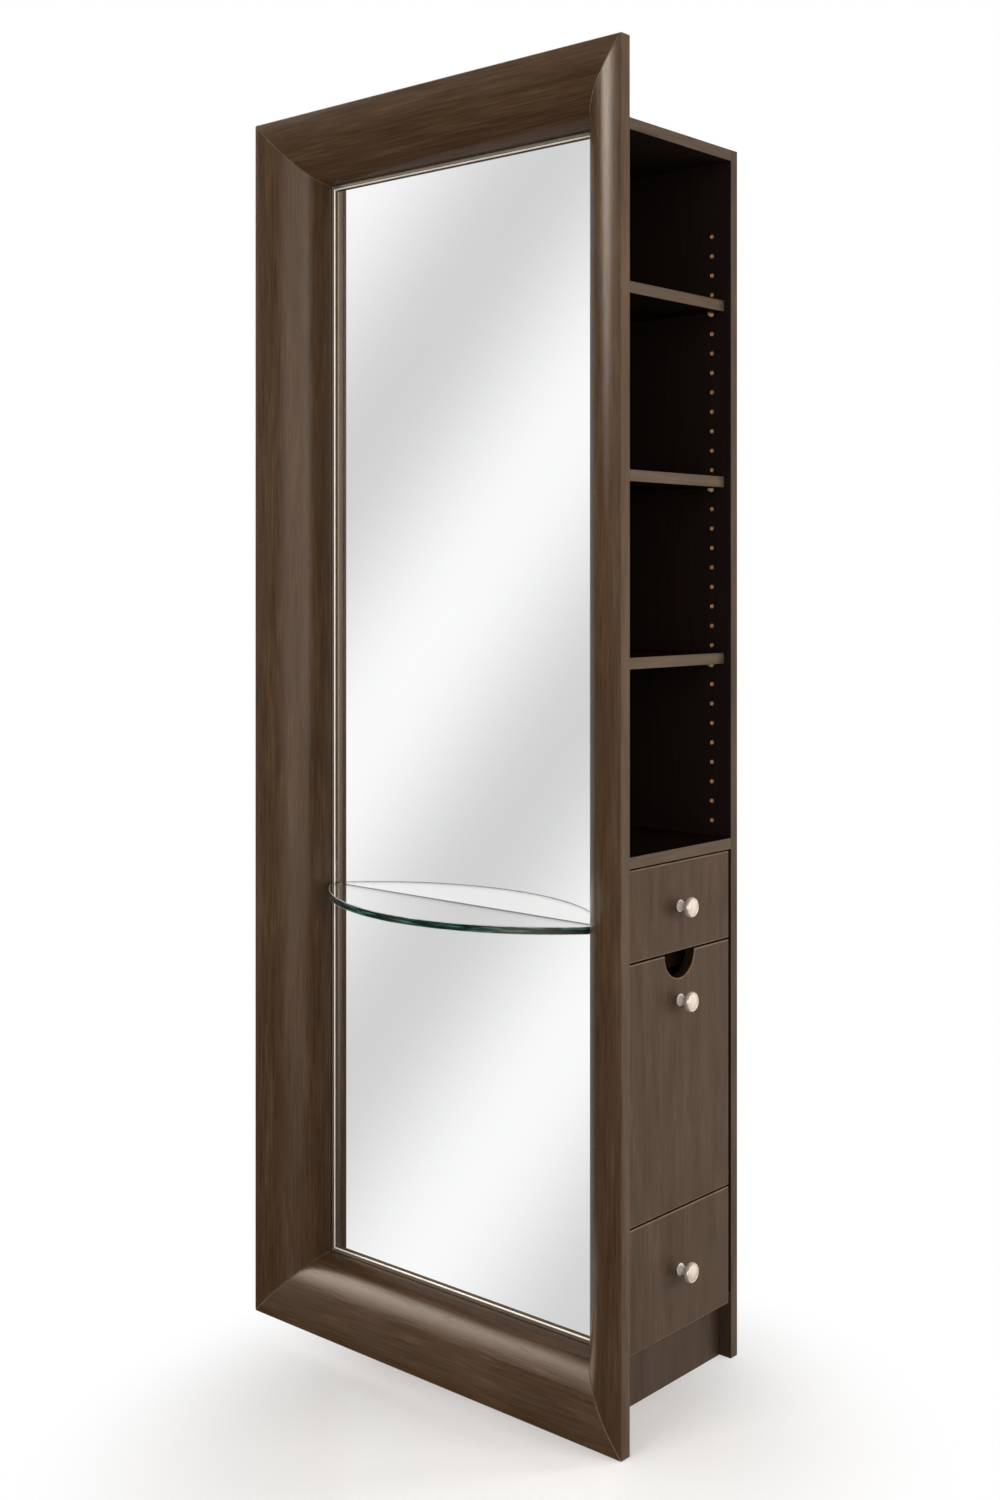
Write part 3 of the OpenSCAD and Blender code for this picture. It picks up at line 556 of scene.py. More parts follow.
def build_mesh(
    name: str,
    points: np.ndarray,
    faces: list,
    finishes: list[Finish],
    picks: np.ndarray | None = None,
    smooth_below: float | None = None,
) -> bpy.types.Object:
    """Puts worked-out points and faces into a new object at the origin.

    Args:
        name: name of the piece.
        points: corner positions in the row frame.
        faces: corner numbers of each face, counter-clockwise from outside.
        finishes: the piece's materials.
        picks: which of the finishes each face takes.
        smooth_below: edges flatter than this angle in degrees are shaded round.

    Returns:
        The new object.
    """
    mesh = bpy.data.meshes.new(name)
    mesh.from_pydata(points.tolist(), [], [list(map(int, face)) for face in faces])
    for finish in finishes:
        mesh.materials.append(finish.make())
    if picks is not None:
        mesh.polygons.foreach_set("material_index", np.asarray(picks, dtype=np.int32))
    if smooth_below is not None:
        mesh.polygons.foreach_set("use_smooth", np.ones(len(mesh.polygons), dtype=bool))
        mesh.set_sharp_from_angle(angle=math.radians(smooth_below))
    mesh.update()
    piece = bpy.data.objects.new(name, mesh)
    bpy.context.scene.collection.objects.link(piece)
    return piece


def ring_faces(rows: int, count: int) -> np.ndarray:
    """Quads between rows of closed rings.

    Args:
        rows: number of rings.
        count: points in each ring.

    Returns:
        Corner numbers; each quad joins a ring's point i and i + 1 to the same two of the next ring.
    """
    row, column = np.meshgrid(np.arange(rows - 1), np.arange(count), indexing="ij")
    near, far = row * count, (row + 1) * count
    nxt = (column + 1) % count
    return np.stack([near + column, near + nxt, far + nxt, far + column], -1).reshape(-1, 4)


def area_of(loop: np.ndarray) -> float:
    """Returns the signed area of a closed loop, positive when it runs counter-clockwise."""
    u, v = loop[:, 0], loop[:, 1]
    return float(np.sum(u * np.roll(v, -1) - np.roll(u, -1) * v) / 2)


def inward(loop: np.ndarray, depth: float) -> np.ndarray:
    """Moves each point of a counter-clockwise loop inwards, along the mean of its two sides' normals."""
    side = np.roll(loop, -1, axis=0) - loop
    side /= np.maximum(np.linalg.norm(side, axis=1, keepdims=True), 1e-9)
    normal = np.stack([-side[:, 1], side[:, 0]], axis=1)
    mean = normal + np.roll(normal, 1, axis=0)
    mean /= np.maximum(np.linalg.norm(mean, axis=1, keepdims=True), 1e-9)
    return loop + mean * depth


class Axis(Enum):
    """The axis along which an outline becomes a board, with how its two other axes are ordered."""

    X = (1, 2, 0)
    Z = (0, 1, 2)


@dataclass
class Slab:
    """A flat board or plate with rounded edges.

    outline gives the loop for an inset, counter-clockwise as seen against the axis. The loop is carried from
    low to high; near both ends it shrinks by r (1 - sin t) while it moves by r (1 - cos t), a quarter circle.
    """

    name: str
    axis: Axis
    outline: Outline
    low: float
    high: float
    round_low: float
    round_high: float
    finishes: list[Finish]
    picks: tuple[int, int, int, int] = (0, 0, 0, 0)  # low cap, rounded edges, sides between them, high cap

    def build(self) -> bpy.types.Object:
        """Returns the finished piece."""
        turns = np.radians(np.linspace(0, 90, 4))
        insets, places = [], []
        for t in turns:
            insets.append(self.round_low * (1 - math.sin(t)))
            places.append(self.low + self.round_low * (1 - math.cos(t)))
        for t in turns[::-1]:
            insets.append(self.round_high * (1 - math.sin(t)))
            places.append(self.high - self.round_high * (1 - math.cos(t)))
        loops = [self.outline(inset) for inset in insets]
        count = len(loops[0])
        points = np.zeros((len(loops) * count, 3))
        u, v, w = self.axis.value
        points[:, [u, v]] = np.concatenate(loops)
        points[:, w] = np.repeat(places, count)
        quads = ring_faces(len(loops), count)
        faces = [*quads, np.arange(count)[::-1], np.arange(count) + (len(loops) - 1) * count]
        low_pick, edge_pick, side_pick, high_pick = self.picks
        picks = np.full((len(loops) - 1, count), edge_pick)
        picks[len(turns) - 1] = side_pick
        picks = np.r_[picks.ravel(), low_pick, high_pick]
        return build_mesh(self.name, points, faces, self.finishes, picks)


def box_outline(u0: float, u1: float, v0: float, v1: float) -> Outline:
    """Returns the outline of a rectangle that shrinks by its inset on every side."""

    def outline(inset: float) -> np.ndarray:
        """Returns the rectangle's four corners."""
        left, right, low, high = u0 + inset, u1 - inset, v0 + inset, v1 - inset
        return np.array([[left, low], [right, low], [right, high], [left, high]])

    return outline


def notched_outline(u0: float, u1: float, v0: float, v1: float, middle: float, radius: float) -> Outline:
    """Returns the outline of a rectangle with a half-round notch in its upper edge.

    The notch is a circle of the given radius, grown by the inset, around (middle, v1), cut where it meets the
    lowered upper edge.
    """

    def outline(inset: float) -> np.ndarray:
        """Returns the corners and the notch's arc."""
        grown = radius + inset
        edge = math.asin(inset / grown)
        turn = np.linspace(edge, math.pi - edge, 41)
        arc = np.stack([middle + grown * np.cos(turn), v1 - grown * np.sin(turn)], axis=1)
        left, right, low, high = u0 + inset, u1 - inset, v0 + inset, v1 - inset
        return np.concatenate([[[left, low], [right, low], [right, high]], arc, [[left, high]]])

    return outline


class Side(Enum):
    """One side of the frame: its node's ending, and whether it stands upright."""

    LEFT = "left"
    RIGHT = "right"
    TOP = "top"
    BOTTOM = "bottom"

    @property
    def upright(self) -> bool:
        """True for the two long sides."""
        return self in (Side.LEFT, Side.RIGHT)

    def place(self, inset: np.ndarray, depth: np.ndarray, along: np.ndarray) -> np.ndarray:
        """Carries points of a strip to this side of the frame.

        Args:
            inset: distance from the frame's outer edge.
            depth: distance behind the front plane.
            along: distance along the side, from the left or the floor.

        Returns:
            Positions in the row frame.
        """
        y = FRONT_Y + depth
        if self is Side.LEFT:
            return np.stack([inset - HALF_W, y, along], axis=-1)
        if self is Side.RIGHT:
            return np.stack([HALF_W - inset, y, along], axis=-1)
        if self is Side.BOTTOM:
            return np.stack([along - HALF_W, y, inset], axis=-1)
        return np.stack([along - HALF_W, y, HEIGHT - inset], axis=-1)


def mitred_strip(
    name: str,
    side: Side,
    loop: np.ndarray,
    finishes: list[Finish],
    side_picks: np.ndarray,
    chamfer: float,
    end_pick: int,
) -> bpy.types.Object:
    """Carries a closed section along one side of the frame, with both ends cut to 45 degrees.

    A point with inset a runs from a to the side's length less a. The last part of each end shrinks by the
    chamfer, so that two strips meet in a fine groove.

    Args:
        name: name of the piece.
        side: side of the frame.
        loop: the section as inset and depth.
        finishes: the piece's materials.
        side_picks: which finish each of the section's sides takes.
        chamfer: width of the chamfer at the mitre.
        end_pick: finish of the chamfer and the cut ends.

    Returns:
        The new object.
    """
    if area_of(loop) < 0:
        loop = loop[::-1]
        side_picks = np.roll(side_picks[::-1], -1)
    length = HEIGHT if side.upright else 2 * HALF_W
    shrunk = inward(loop, chamfer * MITRE_SHRINK)
    rows = [
        (shrunk, shrunk[:, 0] + MITRE_GAP),
        (loop, loop[:, 0] + chamfer),
        (loop, length - loop[:, 0] - chamfer),
        (shrunk, length - shrunk[:, 0] - MITRE_GAP),
    ]
    count = len(loop)
    points = np.concatenate([side.place(ring[:, 0], ring[:, 1], along) for ring, along in rows])
    first = np.arange(count)
    faces = [*ring_faces(len(rows), count), first[::-1], first + (len(rows) - 1) * count]
    if side in (Side.LEFT, Side.TOP):  # these two sides keep the section's hand, the others mirror it
        faces = [face[::-1] for face in faces]
    ends = np.full(count, end_pick)
    picks = np.r_[ends, side_picks, ends, end_pick, end_pick]
    return build_mesh(name, points, faces, finishes, picks, smooth_below=15)


def volume_sign(piece: bpy.types.Object) -> float:
    """Returns the signed volume of a closed mesh, positive when its faces point outwards."""
    mesh = piece.data
    mesh.calc_loop_triangles()
    corners = np.zeros(len(mesh.vertices) * 3)
    mesh.vertices.foreach_get("co", corners)
    corners = corners.reshape(-1, 3)
    triangles = np.zeros(len(mesh.loop_triangles) * 3, dtype=np.int32)
    mesh.loop_triangles.foreach_get("vertices", triangles)
    a, b, c = (corners[triangles[i::3]] for i in range(3))
    return float(np.einsum("ij,ij->i", a, np.cross(b, c)).sum() / 6)


def settle(piece: bpy.types.Object, body: Body, slot: Slot, *nodes: str) -> None:
    """Args:
        piece: the finished piece.
        body: the body that it rides on.
        slot: its material slot; not used.
        nodes: the nodes that it stands for.
    """
    if volume_sign(piece) < 0:
        piece.data.flip_normals()
    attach(piece, body.value)
    if nodes:
        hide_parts(*nodes)
    LOG.info("%s rides on %s", piece.name, body.value)


class StripPart(IntEnum):
    """Parts of the polished strip, numbered like its finishes."""

    BEAD = 0
    DROP = 1
    GAP = 2
    FLAT = 3


# the gap's black rubber beside the wood is painted shade
STRIP_FINISHES = [TRIM_METAL, TRIM_DROP_SHADE, RUBBER_AND_GAP_SHADE, TRIM_FLAT]


@dataclass
class MirrorFrame:
    """The four mouldings and the polished strip at the sight edge."""

    width: float = 0.1075
    depth: float = 0.0825
    roundness: float = 1.88
    lip: float = 0.020
    lip_round: float = 0.0011
    seat: float = 0.072
    cove: Pair = (0.058, 2.2)  # depth at the seat, and power
    chamfer: float = 0.0013
    groove: Pair = (0.0026, 0.0022)  # depth and width of the dark line beside the strip
    nose_drop: float = 0.0008
    ease: float = 0.0006
    seat_depth: float = 0.091
    cover: float = 0.007  # how far the wood reaches over the mirror
    play: float = 0.0005  # between the rabbet and that cover
    steps: int = 72
    bead: Triple = (6.4, 0.1, 2.4)  # the strip's bead: place, depth and radius in millimetres
    strip_chamfer: float = 0.0002

    def section(self) -> tuple[np.ndarray, np.ndarray]:
        """Works out the moulding's section.

        Returns:
            The closed loop as inset a and depth d, and the finish of each of its sides. The swept face is
            a = width sin(t)^(2/n), d = depth (1 - cos(t)^(2/n)), the hollow back d = lip + rise (a / seat)^p.
        """
        power = 2 / self.roundness
        gap_d, gap_w = self.groove
        reach = math.acos((gap_d / self.depth) ** (1 / power))
        t = np.linspace(0, reach, self.steps)
        face = np.stack([self.width * np.sin(t) ** power, self.depth * (1 - np.cos(t) ** power)], axis=1)
        r = self.lip_round
        face = face[face[:, 0] > r]
        turn = np.radians(np.linspace(0, 90, 9))
        corner = np.stack([r - r * np.cos(turn), r - r * np.sin(turn)], axis=1)
        inner, nose_d = self.width - gap_w, self.depth - gap_d
        nose = np.array([[self.width - self.ease, nose_d + self.ease], [inner, nose_d + self.nose_drop]])
        rabbet, deep = self.width - self.cover - self.play, self.seat_depth
        back = np.array([[inner, self.depth], [rabbet, self.depth], [rabbet, deep], [self.seat, deep]])
        cove_d, cove_power = self.cove
        u = np.linspace(1, 0, 25)[:-1]
        cove = np.stack([self.seat * u, self.lip + (cove_d - self.lip) * u**cove_power], axis=1)
        lip_back = np.array([[self.ease, self.lip], [0.0, self.lip - self.ease]])
        loop = np.concatenate([corner, face, nose, back, cove, lip_back])
        picks = np.zeros(len(loop), dtype=int)
        # the lip's rounding and outer side take the lighter edge veneer, partly painted highlight
        picks[: len(corner)] = 1
        picks[-len(lip_back) - 1 :] = 1
        return loop, picks

    def mouldings(self) -> None:
        """Makes the four mitred mouldings."""
        loop, picks = self.section()
        for side in Side:
            face = MOULDING_UPRIGHT if side.upright else MOULDING_ACROSS
            # the mitre chamfers take the lighter painted highlight
            finishes = [face, MOULDING_EDGE, MITRE_HIGHLIGHT]
            name = f"frame_moulding_{side.value}"
            piece = mitred_strip(name, side, loop, finishes, picks, self.chamfer, end_pick=2)
            settle(piece, Body.STATION, Slot.VENEER, f"moulding_{side.value}")

    def trim_loop(self) -> tuple[np.ndarray, np.ndarray]:
        """Works out the polished strip's section, in millimetres from the wood's inner edge and depth.

        Returns:
            The loop and the part of each of its sides: a gap beside the wood, black as painted shade, a satin
            flat, a bright bead, a drop to the mirror, darker as painted shade, and a foot under the wood.
        """
        place, level, radius = self.bead
        turn = np.radians(np.linspace(-30, 80, 12))
        bead = np.stack([place + radius * np.sin(turn), level - radius * np.cos(turn)], axis=1)
        flat = np.array([[0.6, 2.0], [0.6, -1.7]])
        drop = np.array([[8.8, 1.9], [10.0, 2.2], [10.0, 3.5]])
        shape = np.concatenate([flat, bead, drop]) * MM + [self.width, self.depth]
        start = self.width - self.cover
        foot = [[start, self.depth + 3.5 * MM], [start, self.depth + 2.0 * MM]]
        loop = np.concatenate([shape, foot])
        bright = len(flat) + 3  # the first of the bead's six bright sides
        # the drop takes the darker metal, painted shade
        picks = np.full(len(loop), StripPart.DROP, dtype=int)
        picks[bright : bright + 6] = StripPart.BEAD
        # the gap's sides take black rubber as painted shade
        picks[[0, -2, -1]] = StripPart.GAP
        picks[1:bright] = StripPart.FLAT
        return loop, picks

    def trim(self) -> None:
        """Makes the polished strip as four mitred lengths."""
        loop, picks = self.trim_loop()
        for side in Side:
            name = f"sight_strip_{side.value}"
            piece = mitred_strip(name, side, loop, STRIP_FINISHES, picks, self.strip_chamfer, StripPart.BEAD)
            nodes = ("sight_trim",) if side is Side.LEFT else ()
            settle(piece, Body.STATION, Slot.TRIM, *nodes)

    def build(self) -> None:
        """Makes everything of the frame."""
        self.mouldings()
        self.trim()


@dataclass
class GlassShelf:
    """The half-round glass shelf with polished edges."""

    low: float = 0.734
    high: float = 0.746
    reach: float = 0.061
    end_x: float = 0.2723
    end_r: float = 0.012
    mirror_d: float = 0.086
    tongue_d: float = 0.105
    arris: float = 0.0009

    def outline(self, inset: float) -> np.ndarray:
        """Returns the plate's outline, front arc, rounded ends and tongue, drawn in by the inset.

        The front is a circle of radius R = (e^2 + c k) / (2 k) with k = c - 2 r, for chord height c, end
        radius r and end centre e; the ends are circles tangent to it and to the mirror.
        """
        chord = self.mirror_d + self.reach
        rest = chord - 2 * self.end_r
        radius = (self.end_x**2 + chord * rest) / (2 * rest)
        centre_d = radius - self.reach
        end_d = self.mirror_d - self.end_r
        spoke = math.atan2(end_d - centre_d, self.end_x)
        turn = np.linspace(math.pi / 2, spoke, 25)
        small = self.end_r - inset
        end = np.stack([self.end_x + small * np.cos(turn), end_d + small * np.sin(turn)], axis=1)
        sweep = np.linspace(spoke, -math.pi / 2, 90)[1:]
        big = radius - inset
        front = np.stack([big * np.cos(sweep), centre_d + big * np.sin(sweep)], axis=1)
        side = self.end_x - inset
        tongue = np.array([[side, self.tongue_d - inset], [side, self.mirror_d - inset]])
        half = np.concatenate([tongue, end[1:], front[:-1]])
        loop = np.concatenate([half, front[-1:], half[::-1] * [-1, 1]]) + [0.0, FRONT_Y]
        return loop[::-1] if area_of(loop) < 0 else loop

    def build(self) -> None:
        """Makes the plate."""
        plate = Slab(
            "glass_plate",
            Axis.Z,
            self.outline,
            self.low,
            self.high,
            self.arris,
            self.arris,
            # the arris takes the painted highlight, the sides the green edge
            [GLASS, GLASS_ARRIS_HIGHLIGHT, GLASS_EDGE],
            (0, 1, 2, 0),
        ).build()
        settle(plate, Body.STATION, Slot.GLASS, "glass_shelf")


@dataclass
class Knob:
    """A turned nickel knob along +X: flared foot, waist, and a mushroom head with a stepped face."""

    name: str
    body: Body
    node: str
    height: float
    foot_x: float = 0.326
    middle_y: float = 0.076
    segments: int = 72
    stem_rows: int = 16  # rows of faces on foot and waist

    def profile(self) -> np.ndarray:
        """Returns radius and height of the turned shape, from the foot's middle to the face's middle.

        The waist is a cosine between foot and neck, the bell and rim are quarter ellipses, and the face is a
        shallow dome inside a raised ring. The numbers are millimetres.
        """
        foot = np.array([[0, 0], [9.2, 0], [9.5, 0.3], [9.5, 1.0], [9.2, 1.4], [8.4, 1.9]])
        u = np.linspace(0, 1, 12)
        waist = np.stack([5.0 + 2.9 * (1 + np.cos(math.pi * u**0.7)) / 2, 2.1 + 13.3 * u], axis=1)
        a = np.radians(np.linspace(8, 90, 12))
        bell = np.stack([5.0 + 11.0 * np.sin(a), 20.4 - 4.9 * np.cos(a)], axis=1)
        b = np.radians(np.linspace(8, 84, 10))
        rim = np.stack([13.2 + 2.8 * np.cos(b), 21.0 + 5.0 * np.sin(b)], axis=1)
        ring = np.array([[13.0, 26.05], [12.6, 25.85], [12.3, 25.65]])
        v = np.linspace(0.97, 0, 14)
        dome = np.stack([12.3 * v, 25.65 + 2.3 * (1 - v**2)], axis=1)
        return np.concatenate([foot, waist, bell, rim, ring, dome]) * MM

    def build(self) -> None:
        """Turns the profile round the knob's axis and closes both poles."""
        profile = self.profile()
        inner = profile[1:-1]
        turn = np.linspace(0, 2 * math.pi, self.segments, endpoint=False)
        radius, height = inner[:, 0][:, None], inner[:, 1][:, None]
        x = self.foot_x + np.repeat(height, self.segments, axis=1)
        y = self.middle_y + radius * np.cos(turn)
        z = self.height + radius * np.sin(turn)
        foot, face = ([x, self.middle_y, self.height] for x in (self.foot_x, self.foot_x + profile[-1, 1]))
        points = np.concatenate([np.stack([x, y, z], axis=-1).reshape(-1, 3), [foot, face]])
        quads = ring_faces(len(inner), self.segments)
        first = np.arange(self.segments)
        last = first + (len(inner) - 1) * self.segments
        nxt = (first + 1) % self.segments
        foot_fan = [(len(points) - 2, n, f) for f, n in zip(first, nxt)]
        face_fan = [(len(points) - 1, f, n) for f, n in zip(last, nxt + last[0])]
        picks = np.zeros(len(quads) + 2 * self.segments, dtype=int)
        # foot and waist take the brighter stem copy of the nickel, painted light
        picks[: self.stem_rows * self.segments] = 1
        picks[len(quads) : -self.segments] = 1
        faces = [*quads, *foot_fan, *face_fan]
        piece = build_mesh(self.name, points, faces, [NICKEL, NICKEL_STEM_LIT], picks, smooth_below=42)
        settle(piece, self.body, Slot.NICKEL, self.node)


@dataclass
class Front:
    """A veneered drawer or bin front with eased corners; its arrises are painted lighter as highlight, its
    sides painted dark as the shade in the gaps and the notch.
    """

    name: str
    body: Body
    node: str
    low: float
    high: float
    notch: float = 0.0
    back_x: float = 0.308
    front_x: float = 0.326
    low_y: float = -0.060
    high_y: float = 0.212
    back_round: float = 0.0006
    edge_round: float = 0.0018

    def build(self) -> None:
        """Makes the front board."""
        if self.notch:
            middle = (self.low_y + self.high_y) / 2
            outline = notched_outline(self.low_y, self.high_y, self.low, self.high, middle, self.notch)
        else:
            outline = box_outline(self.low_y, self.high_y, self.low, self.high)
        board = Slab(
            self.name,
            Axis.X,
            outline,
            self.back_x,
            self.front_x,
            self.back_round,
            self.edge_round,
            # the eased arrises take the lighter painted highlight
            [FRONT_VENEER, FRONT_ARRIS_HIGHLIGHT, GAP_SHADE_EDGE],
            # the sides between the arrises take the near-black painted shade
            (0, 1, 2, 0),
        ).build()
        settle(board, self.body, Slot.VENEER, self.node)


@dataclass
class LooseShelf:
    """An adjustable shelf: a dark board with a banded front edge."""

    name: str
    body: Body
    node: str
    low: float
    thickness: float = 0.018
    back_x: float = -0.071
    front_x: float = 0.316
    low_y: float = -0.062
    high_y: float = 0.214
    band: float = 0.0016
    back_round: float = 0.0005
    seam_round: float = 0.0001
    edge_round: float = 0.0009

    def build(self) -> None:
        """Makes the board and its banding."""
        band_x, seam = self.front_x - self.band, self.seam_round
        outline = box_outline(self.low_y, self.high_y, self.low, self.low + self.thickness)
        board = Slab(
            self.name, Axis.X, outline, self.back_x, band_x, self.back_round, seam, [SHADED_INSIDE_LEVEL]
        ).build()
        settle(board, self.body, Slot.SHELF, self.node)
        name, end = f"{self.name}_banding", self.front_x
        band = Slab(name, Axis.X, outline, band_x, end, seam, self.edge_round, [BANDING_DEEP]).build()
        settle(band, self.body, Slot.SHELF)


@dataclass
class Sockets:
    """The metal sockets of the shelf pins, turned sleeves with a rounded rim on both walls of the bay."""

    columns: Pair = (0.291, -0.029)
    first: float = 0.875
    pitch: float = 0.032
    rows: int = 31
    segments: int = 20

    def sleeve(self) -> np.ndarray:
        """Returns the rings of one sleeve, turned about the Y axis; the section's numbers are millimetres."""
        bore = [[2.3, -10.0], [2.3, 0.25]]
        rim = [[2.45, 0.55], [2.8, 0.7], [3.2, 0.6], [3.4, 0.3], [3.45, 0.0]]
        shank = [[3.2, 0.0], [3.2, -10.0]]
        section = np.array([*bore, *rim, *shank]) * MM
        turn = np.linspace(0, 2 * math.pi, self.segments, endpoint=False)
        radius, rise = section[:, :1], np.repeat(section[:, 1:], self.segments, axis=1)
        return np.stack([radius * np.cos(turn), rise, radius * np.sin(turn)], -1)

    def build(self) -> None:
        """Turns one sleeve and sets it at every place."""
        rings = self.sleeve()
        sleeve = rings.reshape(-1, 3)
        heights = self.first + self.pitch * np.arange(self.rows)
        x, z, wall = np.meshgrid(self.columns, heights, (1.0, -1.0), indexing="ij")
        places = np.stack([x, np.where(wall > 0, BAY_LO[1], BAY_HI[1]), z], -1).reshape(-1, 3)
        facing = wall.reshape(-1, 1, 1) * [0.0, 1.0, 0.0] + [1.0, 0.0, 1.0]
        points = (places[:, None, :] + sleeve[None] * facing).reshape(-1, 3)
        closed = ring_faces(len(rings) + 1, self.segments) % len(sleeve)
        mirrored = np.where(wall.reshape(-1, 1, 1) > 0, closed[None, :, ::-1], closed[None])
        starts = np.arange(len(places)).reshape(-1, 1, 1) * len(sleeve)
        faces = (mirrored + starts).reshape(-1, 4)
        piece = build_mesh("pin_socket_sleeves", points, faces, [SOCKET_NICKEL], smooth_below=50)
        settle(piece, Body.STATION, Slot.NICKEL, "pin_sockets")


BANDED_EDGES: dict[str, tuple[float, float, float, float, Veneer]] = {
    "front_wall_banding": (-0.081, BAY_LO[1], 0.0, 1.988, BANDING_UPRIGHT),
    "rear_panel_banding": (BAY_HI[1], BACK_Y, 0.0, 1.972, BANDING_UPRIGHT),
    "top_panel_banding": (BAY_LO[1], BAY_HI[1], BAY_HI[2], 1.972, BANDING_DEEP),
    "fixed_deck_banding": (BAY_LO[1], BAY_HI[1], 0.8315, 0.8495, BANDING_DEEP),
}  # y from and to, z from and to, and the finish


@dataclass
class Cabinet:
    """Edge banding of the fixed cabinet's boards."""

    band: float = 0.0006
    rounded: float = 0.9  # share of the band's thickness that its rounding takes

    def build(self) -> None:
        """Glues a thin band with rounded edges to each board edge that shows at the open side."""
        for name, (y0, y1, z0, z1, finish) in BANDED_EDGES.items():
            outline, end = box_outline(y0, y1, z0, z1), SIDE_X + self.band
            strip = Slab(name, Axis.X, outline, SIDE_X, end, 0.0, self.band * self.rounded, [finish]).build()
            settle(strip, Body.STATION, Slot.VENEER)


NODE_FINISHES: dict[str, Finish] = {
    "mirror_sheet": SILVER,
    "shelf_channel": CHANNEL_METAL,
    "shelf_gasket": RUBBER_AND_GAP_SHADE,
    "channel_screws": ZINC,
    "moulding_screws": ZINC,
    "carcass_screws": ZINC,
    "front_wall": BOARD_VENEER,
    "rear_panel": BOARD_VENEER,
    "top_panel": LEVEL_VENEER,
    "left_panel": BOARD_VENEER,
    "inner_back": SHADED_INSIDE_UPRIGHT,
    "fixed_deck": SHADED_INSIDE_LEVEL,
    "drawer_divider": SHADED_INSIDE_LEVEL,
    "bin_deck": SHADED_INSIDE_LEVEL,
    "bottom_deck": SHADED_INSIDE_LEVEL,
    "toe_kick": PLINTH_VENEER,
    "shelf_pins": SOCKET_NICKEL,
    "pivot_bushes": NYLON,
    "bin_stop": SHADED_INSIDE_LEVEL,
    "bin_catch": CATCH,
    "bin_strike": ZINC,
    "bin_pivot_pins": ZINC,
}

WORD_FINISHES: dict[str, Finish] = {
    "slide": ZINC,
    "runners": ZINC,
    "screw": ZINC,
    "sides": SHADED_INSIDE_LEVEL,
    "cheeks": SHADED_INSIDE_LEVEL,
    "back": SHADED_INSIDE_LEVEL,
}  # for nodes not named above, by the first word that is part of the name


def dress_nodes(nodes: dict[str, bpy.types.Object]) -> None:
    """Gives each carried-over node its finish."""
    for name, node in nodes.items():
        by_word = next((finish for word, finish in WORD_FINISHES.items() if word in name), SHADED_INSIDE_UPRIGHT)
        finish = NODE_FINISHES.get(name, by_word)
        node.data.materials.clear()
        node.data.materials.append(finish.make())
        LOG.info("%s keeps its solid with %s", name, finish.name)


class Surroundings(NodeGraph):
    """The node tree of the world, which reads a light path's direction and its past."""

    def __init__(self) -> None:
        """Makes an empty world with its output node."""
        world = bpy.data.worlds.new("surroundings")
        bpy.context.scene.world = world
        world.use_nodes = True
        if hasattr(world, "cycles"):
            world.cycles.sampling_method = "NONE"
        super().__init__(world.node_tree)
        self.output = self.add("OutputWorld")
        self.direction = self.add("TexCoord").outputs["Generated"]
        self.path = self.add("LightPath").outputs

    def along(self, vector: Triple) -> Socket:
        """Returns the part of the direction along a vector."""
        return self.measure("DOT_PRODUCT", self.direction, vector)

    def offset(self, part: Socket, middle: float, half: float) -> Socket:
        """Returns how many half sizes a part of the direction is away from a middle."""
        return self.math("DIVIDE", self.math("SUBTRACT", part, middle), half)

    def distance(self, aside: Socket, upward: Socket) -> Socket:
        """Returns the length of two offsets at right angles."""
        squares = self.math("MULTIPLY", aside, aside), self.math("MULTIPLY", upward, upward)
        return self.math("SQRT", self.math("ADD", *squares))

    def sky(self, strength: Value, colour: Colour = WHITE) -> Socket:
        """Returns a background of one colour."""
        node = self.add("Background")
        node.inputs["Color"].default_value = (*colour, 1.0)
        self.feed(node.inputs["Strength"], strength)
        return node.outputs[0]


